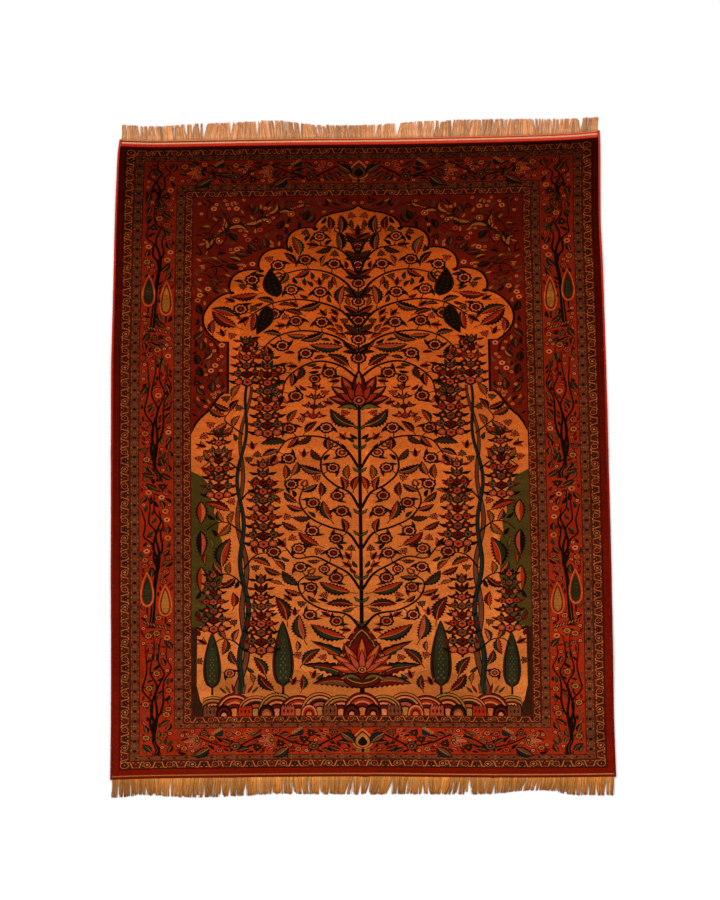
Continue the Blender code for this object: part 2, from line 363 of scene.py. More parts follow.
def shield(f, w, h):
    """Great palmette: scalloped outlines one inside the other, flanked by
    long toothed leaves."""
    for sg in (1, -1):
        for turn, size, one, two in ((1.08, 0.74, "green", "maroon"), (0.66, 0.90, "red", "green"), (1.46, 0.54, "brown", "maroon")):
            saw_leaf(f.at(h * 0.02, sg * w * 0.05, sg * turn), h * size, h * 0.115, -0.40 * sg, one, two, "ochre", 13)
    rings = ((1.0, "ink", 7), (0.945, "maroon", 7), (0.85, "ink", 7), (0.82, "ochre", 7), (0.785, "umber", 7), (0.70, "maroon", 5))
    for s, dye, waves in rings:
        f.at(h * 0.40 * (1 - s), 0, size=s).add(onion(w, h, waves, 0.13), dye)
    for k in range(7):
        t = 0.16 + 0.115 * k
        half = 0.5 * w * math.sin(math.pi * t ** 0.72) ** 0.70 * (1 - 0.28 * t) * 0.87
        for sg in (1, -1):
            f.at(h * t, sg * half).add(disc(w * 0.028, n=6), "orange" if k % 2 else "rose")
    palmette(f.at(h * 0.14, 0), w * 0.56, h * 0.66, "red", "rose", "orange", "ink")


def cypress(f, h, w, body="green", rim="ochre", inner="olive"):
    """Flame-shaped tree on a short trunk, growing along +x."""
    f.add([(0, -w * 0.06), (h * 0.16, -w * 0.05), (h * 0.16, w * 0.05), (0, w * 0.06)], "ink")
    t = np.linspace(0, 1, 15)
    half = 0.5 * w * np.sin(math.pi * np.clip(t, 0, 1) ** 0.62) ** 0.75

    def outline(k):
        x = h * 0.10 + h * 0.90 * (0.5 + (t - 0.5) * (1 - 0.18 * (1 - k)))
        return np.concatenate([np.stack([x, -half * k], 1), np.stack([x, half * k], 1)[-2:0:-1]])

    f.add(outline(1.0), rim)
    f.add(outline(0.80), "ink")
    f.add(outline(0.68), body)
    for k in range(7):
        x = h * (0.22 + 0.085 * k)
        r = w * 0.055 * (1 - 0.06 * k)
        for sg in (1, -1):
            f.add(disc(r * 1.5, r * 0.7, n=6) + (x, sg * w * 0.13 * (1 - 0.10 * k)), inner)
        f.add(disc(r * 1.4, r * 0.6, n=6) + (x + h * 0.04, 0), inner)


def ovals(f, s, n=3, step=1.25, fill="maroon"):
    """Little group of rimmed seeds side by side."""
    for k in range(n):
        g = f.at(0, (k - 0.5 * (n - 1)) * s * step, 0.16 * (k - 0.5 * (n - 1)))
        g.add(disc(s * 0.72, s * 0.44, n=9), "orange")
        g.add(disc(s * 0.50, s * 0.25, n=8), "ink" if k % 2 else fill)


def bell(f, s, cup="blueblack", lip="ochre"):
    """Hanging bell flower, opening along +x."""
    f.add([(0, -s * 0.16), (s * 0.35, -s * 0.52), (s * 0.66, -s * 0.60), (s * 0.66, s * 0.60), (s * 0.35, s * 0.52), (0, s * 0.16)], cup)
    for k in (-1.5, -0.5, 0.5, 1.5):
        g = f.at(s * 0.66, k * s * 0.34)
        g.add(leaf(s * 0.46, s * 0.34, 4), lip)
        g.add(disc(s * 0.07, n=5) + (s * 0.18, 0), "ink")


def bullet(f, h, w, body="green", rim="orange", gap="red", inner="olive"):
    """Small pointed cypress with a round foot and a double outline."""
    def outline(height, width):
        t = np.array([0.0, 0.05, 0.15, 0.30, 0.45, 0.60, 0.75, 0.88, 1.0])
        flank = 0.5 * width * np.clip(np.sin(math.pi * t ** 0.62), 0, 1) ** 0.72
        up = np.stack([height * t, flank], 1)
        return np.concatenate([up, np.stack([up[1:-1, 0], -up[1:-1, 1]], 1)[::-1]])

    w = w * 1.2
    f.add(stroke([(-h * 0.20, 0), (h * 0.02, 0)], 8, 8), "ink")
    f.add(outline(h, w), rim)
    f.add(outline(h * 0.90, w * 0.82) + (h * 0.04, 0), gap)
    f.add(outline(h * 0.80, w * 0.68) + (h * 0.075, 0), "umber")
    f.add(outline(h * 0.73, w * 0.56) + (h * 0.10, 0), body)
    for k in range(5):
        for sg in (1, -1):
            f.add(disc(w * 0.045, w * 0.03, n=5) + (h * (0.17 + 0.10 * k), sg * w * (0.12 - 0.014 * k)), inner)


def flame(f, h, w, body="ink", rim="umber", seeds="green", bend=0.12):
    """Large dark drop-shaped leaf with a few seeds, growing along +x."""
    f.add(leaf(h, w * 1.1, 12, bend, 0.0, 0.74), rim)
    f.add(leaf(h * 0.93, w * 0.92, 11, bend, 0.0, 0.74) + (h * 0.03, 0), body)
    for k in range(5):
        x = h * (0.20 + 0.12 * k)
        y = bend * h * math.sin(math.pi * x / h) * 0.5
        for sg in (1, -1):
            f.add(disc(w * 0.075, w * 0.045, n=5) + (x, y + sg * w * (0.20 - 0.022 * k)), seeds)


# ------------------------------------------------------------- free ground
class Ground:
    """Keeps which cells of the drawing plane a motif already covers."""

    CELL = 4.0

    def __init__(self):
        self.nx, self.ny = int(2400 / self.CELL), int(4200 / self.CELL)
        self.full = np.zeros((self.ny, self.nx), bool)

    def window(self, pts):
        lo = np.floor((pts.min(0) + (1200, 2100)) / self.CELL).astype(int)
        hi = np.ceil((pts.max(0) + (1200, 2100)) / self.CELL).astype(int) + 1
        i0, j0 = max(lo[0], 0), max(lo[1], 0)
        i1, j1 = min(hi[0], self.nx), min(hi[1], self.ny)
        if i1 <= i0 or j1 <= j0:
            return None
        x = (np.arange(i0, i1) + 0.5) * self.CELL - 1200
        y = (np.arange(j0, j1) + 0.5) * self.CELL - 2100
        return slice(j0, j1), slice(i0, i1), inside(pts, x, y)

    def mark(self, pts):
        w = self.window(np.asarray(pts, float))
        if w:
            self.full[w[0], w[1]] |= w[2]

    def free(self, pts):
        w = self.window(np.asarray(pts, float))
        return bool(w) and not (self.full[w[0], w[1]] & w[2]).any()


def inside(poly, x, y):
    """Even-odd test of a grid of points against a polygon."""
    a, b = poly, np.roll(poly, -1, axis=0)
    odd = np.zeros((len(y), len(x)), bool)
    for (ax, ay), (bx, by) in zip(a, b):
        if ay == by:
            continue
        hit = (y > min(ay, by)) & (y <= max(ay, by))
        if hit.any():
            cut = ax + (y[hit] - ay) * (bx - ax) / (by - ay)
            odd[hit] ^= x[None, :] < cut[:, None]
    return odd


def scatter(design, ground, rng, region, tries, kinds, heading, twin=True, clear=1.12):
    """Put motifs on free ground.  region(x, y) says where, kinds is a list of
    (name, outline for the test, draw function), heading(x, y) turns them."""
    x0, x1, y0, y1, allowed = region
    placed = 0
    for _ in range(tries):
        x, y = rng.uniform(x0, x1), rng.uniform(y0, y1)
        if not allowed(x, y):
            continue
        test, draw = kinds[rng.randrange(len(kinds))]
        a = heading(x, y) + rng.uniform(-0.45, 0.45)
        f = Frame(design, x, y, a, twin=twin, flip=rng.random() < 0.5)
        probe = f.out(test * clear)
        if twin and probe[:, 0].max() > -3.0:
            continue
        if not (ground.free(probe) and allowed(*probe[0]) and allowed(*probe[len(probe) // 2])
                and allowed(*probe[len(probe) // 4]) and allowed(*probe[3 * len(probe) // 4])):
            continue
        first = len(design.shapes)
        draw(f, rng)
        for pts, _dye in design.shapes[first:]:
            ground.mark(pts)
        placed += 1
    return placed


# ---------------------------------------------------------------- the bands
def level(name, side=False):
    """Rectangle on which a band starts: x0, x1, y0, y1 in the drawing plane."""
    s = [b for b in BANDS_SIDE if b[0] == name][0][1]
    n = [b for b in BANDS_NEAR if b[0] == name][0][1]
    f = [b for b in BANDS_FAR if b[0] == name][0][1]
    return -HALF_W + s, HALF_W - s, (-HALF_L + n) / SQUASH, (HALF_L - f) / SQUASH


def level_end(name):
    s = [b for b in BANDS_SIDE if b[0] == name][0][2]
    n = [b for b in BANDS_NEAR if b[0] == name][0][2]
    f = [b for b in BANDS_FAR if b[0] == name][0][2]
    return -HALF_W + s, HALF_W - s, (-HALF_L + n) / SQUASH, (HALF_L - f) / SQUASH


def box(x0, x1, y0, y1, step=70.0):
    """Rectangle whose long edges carry points, so that it can be warped."""
    nx, ny = max(1, round((x1 - x0) / step)), max(1, round((y1 - y0) / step))
    xs, ys = np.linspace(x0, x1, nx + 1), np.linspace(y0, y1, ny + 1)
    return np.concatenate([
        np.stack([xs[:-1], np.full(nx, y0)], 1), np.stack([np.full(ny, x1), ys[:-1]], 1),
        np.stack([xs[:0:-1], np.full(nx, y1)], 1), np.stack([np.full(ny, x0), ys[:0:-1]], 1)])


def guard_unit(f, p, w, k):
    """One repeat of the guard stripe: bracket with a small flower between
    rosettes.  It runs from -p/2 to p/2 along +x and is 2 w wide."""
    up = 1 if k % 2 else -1
    top, foot = up * w * 0.66, -up * w * 0.70
    line = [(-0.37 * p, foot), (-0.25 * p, foot), (-0.15 * p, top), (0.15 * p, top), (0.25 * p, foot), (0.37 * p, foot)]
    f.add(stroke(line, w * 0.25), "orange")
    f.add(stroke([(-0.13 * p, top), (0.13 * p, top)], w * 0.12), "maroon" if k % 2 else "umber")
    dark_flower(f.at(0, -up * w * 0.16), w * 0.44, "ink" if k % 2 else "maroon", "orange")
    for sg in (1, -1):
        g = f.at(sg * 0.31 * p, up * w * 0.20)
        g.add([(-w * 0.26, 0), (0, w * 0.34), (w * 0.26, 0), (0, -w * 0.34)], "ink" if k % 2 else "olive")
        small_leaf(f.at(sg * 0.05 * p, -up * w * 0.62, 0.0 if sg > 0 else math.pi), p * 0.13, w * 0.24, "ochre")


def guard_knot(f, w, k):
    """Rosette between two repeats of the guard stripe."""
    f.add(petals(8, w * 0.74, 0.12, per=2), "orange")
    f.add(petals(8, w * 0.60, 0.12, per=2), "ink")
    f.add(petals(4, w * 0.30, 0.20, per=2), ("red", "peach")[k % 2])
    f.add(disc(w * 0.10, n=5), "ink")


def guard_band(design, name, pitch=112.0):
    x0, x1, y0, y1 = level(name)
    a0, a1, b0, b1 = level_end(name)
    wn, wf, ws = 0.5 * (b0 - y0), 0.5 * (y1 - b1), 0.5 * (a0 - x0)
    cx, cn, cf = 0.5 * (x0 + a0), 0.5 * (y0 + b0), 0.5 * (y1 + b1)
    n = 2 * round((-2 * cx / pitch - 1) / 2) + 1
    p = -2 * cx / n
    for k in range(n):
        x = cx + p * (k + 0.5)
        order = abs(k - n // 2)
        for y, w, turn in ((cn, wn, 0.0), (cf, wf, math.pi)):
            guard_unit(Frame(design, x, y, turn), p, w, order)
            if k:
                guard_knot(Frame(design, cx + p * k, y, turn), w, min(abs(k - n // 2), abs(k - 1 - n // 2)))
    m = round((cf - cn) / pitch)
    q = (cf - cn) / m
    for k in range(m):
        guard_unit(Frame(design, cx, cn + q * (k + 0.5), math.pi / 2, twin=True), q, ws, k)
        if k:
            guard_knot(Frame(design, cx, cn + q * k, math.pi / 2, twin=True), ws, k)
    for y in (cn, cf):
        f = Frame(design, cx, y, 0, twin=True)
        f.add(petals(8, ws * 0.86, 0.12), "orange")
        f.add(petals(8, ws * 0.70, 0.12), "ink")
        f.add(petals(4, ws * 0.42, 0.30), "maroon")
        f.add(disc(ws * 0.14, n=5), "peach")


def brown_band(design, name, pitch=62.0):
    """Narrow stripe: dotted lines at its edges, small dark lozenges between."""
    x0, x1, y0, y1 = level(name)
    a0, a1, b0, b1 = level_end(name)

    def run(f, length, w, odd):
        n = 2 * round(length / pitch / 2) + odd
        p = length / n
        steps = max(2, int(length / 70.0))
        along_x = np.linspace(0.0, length, steps + 1)
        strip = np.concatenate([np.stack([along_x, np.full(steps + 1, -w * 0.46)], 1), np.stack([along_x[::-1], np.full(steps + 1, w * 0.46)], 1)])
        f.add(strip, "brown")
        for v in (-0.56, 0.56, -0.90, 0.90):
            edge = np.full(steps + 1, v * w)
            f.add(np.concatenate([np.stack([along_x, edge - w * 0.045], 1), np.stack([along_x[::-1], edge + w * 0.045], 1)]), "maroon" if abs(v) < 0.7 else "ink")
        for k in range(n):
            g = f.at(p * (k + 0.5), 0)
            g.add(petals(4, w * 0.48, 0.1, per=2, phase=0.785), "umber")
            g.add(petals(4, w * 0.34, 0.2, per=2), "ink")
            if k:
                for v in (-0.24, 0.24):
                    f.at(p * k, v * w).add(petals(4, w * 0.15, 0.2, per=1), "ochre" if k % 2 else "rose")
        for v in (-0.73, 0.73):
            m = int(length / 15.0)
            for k in range(0, m, 2):
                g = f.at(length * (k + 0.5) / m, v * w)
                g.add([(-4.6, -w * 0.11), (4.6, -w * 0.11), (4.6, w * 0.11), (-4.6, w * 0.11)], ("rose", "ochre", "rose", "maroon")[(k // 2) % 4])

    for ya, yb in ((y0, b0), (b1, y1)):
        run(Frame(design, x0, 0.5 * (ya + yb)), x1 - x0, 0.5 * (yb - ya), 1)
    run(Frame(design, 0.5 * (x0 + a0), b0, math.pi / 2, twin=True), b1 - b0, 0.5 * (a0 - x0), 0)


# --------------------------------------------------------- the main border
def garden_tree(f, rng, height, half, limbs, flowers, lean=0.0, part=0.22):
    """Old tree: a slender trunk that parts into twisting limbs."""
    fork = height * part
    f.add(stroke(smooth([(0, 0), (fork * 0.3, lean * 0.1 - 5), (fork * 0.65, lean * 0.6 + 5), (fork * 1.04, lean)], 4), 27, 17), "ink")
    for sg in (1, -1):
        f.add(stroke(smooth([(0, 12 * sg), (8, 20 * sg), (22, 15 * sg)], 3), 11, 3), "umber")
    f.add(stroke(smooth([(8, 2), (fork * 0.3, lean * 0.1 - 3), (fork * 0.65, lean * 0.6 + 7)], 4), 4, 2), "brown")
    tips = []
    for k in range(limbs):
        share = (k + 0.5) / limbs * 2 - 1
        side = share * half * 0.80
        reach = height * (1.0 - 0.16 * abs(share) - 0.05 * rng.random())
        pts = [(fork * 0.94, lean)]
        for j in range(1, 9):
            t = j / 8
            wave = half * 0.30 * math.sin(4.6 * t * math.pi + k * 2.1) * (0.6 + 0.4 * math.cos(9.0 * t + k))
            v = lean * (1 - t) + side * min(1.0, t * 1.9) + wave * (0.35 if j == 8 else 1.0)
            pts.append((fork + (reach - fork) * t, max(-half * 0.86, min(half * 0.86, v))))
        line = smooth(pts, 3)
        f.add(stroke(line, 15 - 2 * abs(share), 5.5), "ink")
        tips.append(line)
    return tips


def slope(f, wide, rise, tall):
    """Slanting strip of striped ground at the foot of a tree."""
    n = 9
    f.add([(-tall, -wide), (rise - tall, wide), (rise, wide), (0, -wide)], "ink")
    for k in range(n):
        a, b = (k + 0.18) / n, (k + 0.72) / n
        va, vb = -wide + 2 * wide * a, -wide + 2 * wide * b
        shift = 0.5 * wide / n
        f.add([(rise * a - tall * 0.88, va - shift), (rise * b - tall * 0.88, vb - shift), (rise * b - tall * 0.12, vb + shift), (rise * a - tall * 0.12, va + shift)], "ochre" if k % 2 else "rose")


def dress(design, ground, f, rng, line, limits, count, kinds, start=0.25):
    """Flowers on short twigs left and right of a limb."""
    for k in range(count):
        t = start + (0.99 - start) * k / max(count - 1, 1)
        x, y, a = along(line, t)
        for sg in ((1, -1) if k % 2 else (-1, 1)):
            reach = rng.uniform(24, 44)
            turn = a + sg * rng.uniform(0.7, 1.2)
            px, py = x + reach * math.cos(turn), y + reach * math.sin(turn)
            g = f.at(px, py, turn)
            r, draw = kinds[rng.randrange(len(kinds))]
            probe = g.out(disc(r * 1.15, n=8))
            (lx, ly), (hx, hy) = probe.min(0), probe.max(0)
            if lx < limits[0] or hx > limits[1] or ly < limits[2] or hy > limits[3] or not ground.free(probe):
                continue
            first = len(design.shapes)
            f.add(stroke(smooth([(x, y), (x + 0.6 * reach * math.cos(turn - 0.3 * sg), y + 0.6 * reach * math.sin(turn - 0.3 * sg)), (px, py)], 2), 4.5, 3), "ink")
            draw(g, r)
            for pts, _dye in design.shapes[first:]:
                ground.mark(pts)
            break


def cluster(f, r, fill, eye="ink", heart="orange"):
    """Full outlined flower with leaf points between its petals."""
    for k in range(3):
        f.at(0, 0, 0.5 + 2.1 * k).add(leaf(r * 1.55, r * 0.6, 4), "ink")
    f.add(petals(7, r * 1.12, 0.24, per=2), "ink")
    f.add(petals(7, r * 0.90, 0.26, per=2), fill)
    f.add(disc(r * 0.44, n=7), eye)
    f.add(disc(r * 0.17, n=5), heart)


BORDER_FLOWERS = [
    (25.0, lambda g, r: cluster(g, r, "brown")),
    (20.0, lambda g, r: small_flower(g, r, "orange", "maroon")),
    (21.0, lambda g, r: cluster(g, r, "orange")),
    (26.0, lambda g, r: cluster(g, r, "umber", "rose", "ink")),
    (18.0, lambda g, r: small_flower(g, r, "peach")),
    (22.0, lambda g, r: cluster(g, r, "rose")),
]


def mark_from(design, ground, first):
    for pts, _dye in design.shapes[first:]:
        ground.mark(pts)


def side_panel(design, ground, rng):
    """Upright run of the main border, left one, with its twin at the right."""
    x0, _, y0, y1 = level("main")
    a0 = level_end("main")[0]
    half = 0.5 * (a0 - x0)
    f = Frame(design, 0.5 * (x0 + a0), y0, math.pi / 2, twin=True)
    length = y1 - y0
    trees = (
        # base, off, height, limbs, lean, twigs, share of the trunk
        (0.0, 0.0, 800.0, 4, 14.0, 14, 0.16),
        (800.0, 26.0, 900.0, 4, -34.0, 11, 0.44),
        (1740.0, -10.0, 900.0, 4, 20.0, 15, 0.14),
        (2720.0, 26.0, 860.0, 3, -34.0, 10, 0.50),
        (3560.0, 14.0, 320.0, 3, -10.0, 7, 0.20),
    )
    pairs = (
        # base, left height, right height, body dyes
        (935.0, 225.0, 205.0, "green", "ochre"),
        (2890.0, 215.0, 235.0, "green", "ochre"),
    )
    for base, off, height, limbs, lean, twigs, part in trees:
        g = f.at(base, off)
        first = len(design.shapes)
        lines = garden_tree(g, rng, height, half - abs(off) * 0.5, limbs, BORDER_FLOWERS, lean, part)
        if part > 0.3:
            slope(f.at(base + 4, 0), half * 0.78, 46, 22)
        mark_from(design, ground, first)
        if part > 0.3:
            first = len(design.shapes)
            for b0, h1, h2, d1, d2 in pairs:
                if base < b0 < base + height:
                    bullet(f.at(b0, half * 0.56), h1, half * 0.68, d1, "orange", "red", "olive")
                    bullet(f.at(b0 - 62, -half * 0.50), h2, half * 0.68, d2, "orange", "red", "umber")
            mark_from(design, ground, first)
        for line in lines:
            dress(design, ground, g, rng, line, (x0 + 2, a0 - 2, y0 + 4, y1 - 4), twigs, BORDER_FLOWERS)
    xa, xb = x0 + 4, a0 - 4
    region = (xa, xb, y0 + 4, y1 - 4, lambda x, y: xa < x < xb and y0 + 4 < y < y1 - 4)

    def up(x, y):
        return math.pi / 2 + 0.9 * math.sin(y / 150.0 + x / 60.0)

    leaf_a = leaf(52, 20, 5)
    leaf_b = leaf(38, 14, 5)
    kinds_1 = [
        (disc(25, n=8), lambda g, r: cluster(g, 21, ("brown", "ochre", "umber")[r.randrange(3)])),
        (disc(22, n=8), lambda g, r: cluster(g, 18, ("orange", "rose")[r.randrange(2)])),
        (leaf(76, 30, 5), lambda g, r: saw_leaf(g, 70, 22, 0.15, "green", "umber", "ochre", 9)),
        (leaf(62, 24, 5), lambda g, r: saw_leaf(g, 56, 18, -0.15, "brown", "ink", "orange", 9)),
    ]
    kinds_2 = [
        (leaf_a, lambda g, r: small_leaf(g, 50, 19, ("olive", "brown", "rose")[r.randrange(3)], "ink", 0.2)),
        (leaf_a, lambda g, r: small_leaf(g, 50, 19, ("green", "ink")[r.randrange(2)], None, 0.2)),
        (disc(15, n=8), lambda g, r: blossom(g, 14, "ink", ("peach", "orange")[r.randrange(2)], "maroon", 5)),
    ]
    kinds_3 = [
        (leaf_b, lambda g, r: small_leaf(g, 36, 14, ("maroon", "umber", "ink", "ink", "brown")[r.randrange(5)])),
    ]
    scatter(design, ground, rng, region, 2200, kinds_1, up, clear=0.92)
    scatter(design, ground, rng, region, 3600, kinds_2, up, clear=0.9)
    scatter(design, ground, rng, region, 3400, kinds_3, up, clear=0.9)
    return length


def end_panel(design, ground, rng, near):
    """Lying run of the main border, both halves."""
    x0, _, y0, y1 = level("main")
    a0, _, b0, b1 = level_end("main")
    ya, yb = (y0, b0) if near else (b1, y1)
    half = 0.5 * (yb - ya)
    reach = -a0
    first = len(design.shapes)
    c = Frame(design, 0, 0.5 * (ya + yb), math.pi / 2)
    body = leaf(150, 112, 10, 0, 0, 0.72)
    c.at(-64, 0, size=0.98).add(body, "ink")
    c.at(-60, 0, size=0.92).add(body, "orange")
    c.at(-50, 0, size=0.74).add(body, "maroon" if near else "umber")
    c.at(-44, 0, size=0.62).add(body, "ochre" if near else "brown")
    c.at(-36, 0, size=0.40).add(body, "ink")
    c.add(disc(9, n=8) + (14, 0), "ink")
    c.add([(-74, -6), (-50, -6), (-50, 6), (-74, 6)], "ink")
    for sg in (1, -1):
        small_leaf(c.at(-70, 6 * sg, sg * 1.2), 34, 16, "olive", "ochre")
        small_leaf(c.at(-66, 30 * sg, sg * 1.0), 30, 14, "green")
    mark_from(design, ground, first)

    f = Frame(design, 0, 0.5 * (ya + yb), math.pi, twin=True)
    stem = smooth([(96, -44), (150, -8), (230, 34), (330, 10), (420, -36), (520, -12), (600, 36), (700, 16), (790, -30), (860, -8)], 5)
    first = len(design.shapes)
    f.add(stroke(stem, 11, 8), "ink")
    back = smooth([(150, -8), (120, 30), (88, 50)], 4)
    f.add(stroke(back, 5, 3), "ink")
    mark_from(design, ground, first)
    items = (
        # along, off, turn, kind
        (104.0, -46.0, 2.4, "leaf"),
        (90.0, 52.0, 2.6, "bud"),
        (186.0, -38.0, -0.5, "ovals"),
        (232.0, 34.0, 0.6, "dark"),
        (286.0, -34.0, -0.9, "bell"),
        (352.0, 40.0, 0.7, "leaf"),
        (424.0, -6.0, 0.1, "palmette"),
        (548.0, -46.0, -0.5, "ovals"),
        (604.0, 30.0, 0.5, "dark"),
        (666.0, -34.0, -0.9, "bell"),
        (726.0, 40.0, 0.6, "leaf"),
        (778.0, -6.0, 0.1, "palmette"),
    )
    for u, v, turn, kind in items:
        g = f.at(u, v, turn)
        first = len(design.shapes)
        if kind == "leaf":
            saw_leaf(g, 96, 38, 0.2, "blueblack", "brown", "ochre", 9)
        elif kind == "bud":
            bud(g, 24, "maroon", "orange")
        elif kind == "ovals":
            ovals(g, 21, 3)
        elif kind == "dark":
            cluster(g, 29, "brown", "ink", "orange")
        elif kind == "bell":
            bell(g, 44, "blueblack", "ochre")
        else:
            petals_of = ((0.0, 74.0), (0.62, 62.0), (-0.62, 62.0), (1.15, 48.0), (-1.15, 48.0))
            for a, size in petals_of[::-1]:
                h = g.at(0, 0, a)
                h.add(leaf(size, 31, 6), "ink")
                h.add(leaf(size * 0.92, 25, 6) + (3, 0), "peach")
                h.add(leaf(size * 0.80, 19, 6) + (5, 0), "maroon" if a else "rose")
                h.add(leaf(size * 0.5, 8, 4) + (12, 0), "orange")
            g.at(6, 0).add(disc(13, n=9), "ink")
            g.at(6, 0).add(disc(8, n=7), "ochre")
        mark_from(design, ground, first)
    lo, hi = -reach + 6, -8
    region = (lo, hi, ya + 5, yb - 5, lambda x, y: lo < x < hi and ya + 5 < y < yb - 5)

    def out(x, y):
        return math.pi + 0.9 * math.sin(x / 90.0)

    kinds_1 = [
        (disc(25, n=8), lambda g, r: cluster(g, 21, ("brown", "ochre", "umber")[r.randrange(3)])),
        (disc(22, n=8), lambda g, r: cluster(g, 18, ("orange", "rose")[r.randrange(2)])),
        (leaf(76, 30, 5), lambda g, r: saw_leaf(g, 70, 22, 0.15, "green", "maroon", "ochre", 9)),
        (leaf(62, 24, 5), lambda g, r: saw_leaf(g, 56, 18, -0.15, "brown", "ink", "orange", 9)),
    ]
    kinds_2 = [
        (leaf(50, 20, 5), lambda g, r: small_leaf(g, 48, 19, ("olive", "brown", "rose")[r.randrange(3)], "ink", 0.2)),
        (leaf(50, 20, 5), lambda g, r: small_leaf(g, 48, 18, ("green", "ink")[r.randrange(2)], None, 0.2)),
        (disc(15, n=8), lambda g, r: blossom(g, 14, "ink", ("peach", "orange")[r.randrange(2)], "maroon", 5)),
    ]
    kinds_3 = [(leaf(38, 14, 5), lambda g, r: small_leaf(g, 36, 14, ("maroon", "umber", "ink", "ink", "brown")[r.randrange(5)]))]
    scatter(design, ground, rng, region, 900, kinds_1, out, clear=0.92)
    scatter(design, ground, rng, region, 1300, kinds_2, out, clear=0.9)
    scatter(design, ground, rng, region, 1400, kinds_3, out, clear=0.9)


def draw_border():
    """All bands round the field, on a ground of the plain edge band."""
    design, rng, ground = Design(), random.Random(19), Ground()
    design.add(box(*level("plain")), "plain")

    def band(name, dye, line="ink", wide=2.2):
        x0, x1, y0, y1 = level(name)
        e, g = wide, wide / SQUASH
        design.add(box(x0 - e, x1 + e, y0 - g, y1 + g), line)
        design.add(box(x0, x1, y0, y1), dye)

    band("guard_out", "guard", "ink", 3.0)
    band("brown_out", "brown", "maroon", 3.0)
    band("main", "red", "maroon", 3.0)
    band("brown_in", "brown", "maroon", 3.0)
    band("guard_in", "guard", "maroon", 4.0)
    band("field", "madder", "maroon", 4.0)
    guard_band(design, "guard_out")
    guard_band(design, "guard_in", 104.0)
    brown_band(design, "brown_out")
    brown_band(design, "brown_in")
    side_panel(design, ground, rng)
    end_panel(design, ground, rng, True)
    end_panel(design, ground, rng, False)
    return design


# ------------------------------------------------------------------ the field
ARCH = {
    # shape of the arch in the drawing plane
    "tip": ((0.0, 1612.0), (-20.0, 1592.0), (-62.0, 1576.0), (-122.0, 1562.0), (-172.0, 1536.0), (-200.0, 1500.0)),
    "start": (-208.0, 1462.0),        # first cusp
    "elbow": (-616.0, 1040.0),        # last cusp before the side lobe
    "lobes": 3,
    "bulge": 0.34,
    "side": 128.0,                    # how far the side lobe swells
    "waist": (-624.0, 716.0, 372.0),  # x, upper and lower end of the straight part
    "flare": (-806.0, 110.0),         # where the gold meets the side again
}


def arch_half():
    """Left half of the arch, from the tip round to the foot of the field."""
    x0, _, y0, _ = level("field")
    pts = list(ARCH["tip"])
    (sx, sy), (ex, ey) = ARCH["start"], ARCH["elbow"]
    n = ARCH["lobes"]
    knots = []
    for k in range(n + 1):
        t = k / n
        knots.append((sx + (ex - sx) * t ** 1.06, sy + (ey - sy) * t ** 1.02))
    cusps = [knots[0]]
    for (ax, ay), (bx, by) in zip(knots, knots[1:]):
        dx, dy = bx - ax, by - ay
        size = ARCH["bulge"]
        for j in range(0, 10):
            t = j / 10
            lift = math.sin(math.pi * t) ** 0.72
            pts.append((ax + dx * t + dy * size * lift, ay + dy * t - dx * size * lift))
        cusps.append((bx, by))
    wx, w1, w2 = ARCH["waist"]
    for j in range(0, 16):
        t = j / 16
        lift = math.sin(math.pi * t) ** 0.62
        pts.append((ex + (wx - ex) * t - ARCH["side"] * lift, ey + (w1 - 18 - ey) * t))
    for j in range(0, 7):
        pts.append((wx, w1 + (w2 - w1) * j / 6))
    fx, fy = ARCH["flare"]
    for j in range(1, 8):
        t = j / 8
        pts.append((wx + (fx - wx) * t, w2 + (fy - w2) * t ** 1.5 + 14 * math.sin(9.4 * t)))
    pts.append((x0, fy))
    return pts, cusps + [(wx, w1)]


def on_gold(poly):
    """Quick test for points of the left half inside the arch."""
    ys = np.arange(-1720, 1620, 8.0)
    reach = []
    for y in ys:
        xs = []
        for (ax, ay), (bx, by) in zip(poly, poly[1:]):
            if min(ay, by) <= y < max(ay, by):
                xs.append(ax + (bx - ax) * (y - ay) / (by - ay))
        reach.append(max((-x for x in xs), default=0.0) if y > ARCH["flare"][1] else 807.0)
    reach = np.array(reach)

    def test(x, y, margin=0.0):
        i = int((y + 1720) / 8.0)
        return 0 <= i < len(reach) and -x < reach[i] - margin

    return test


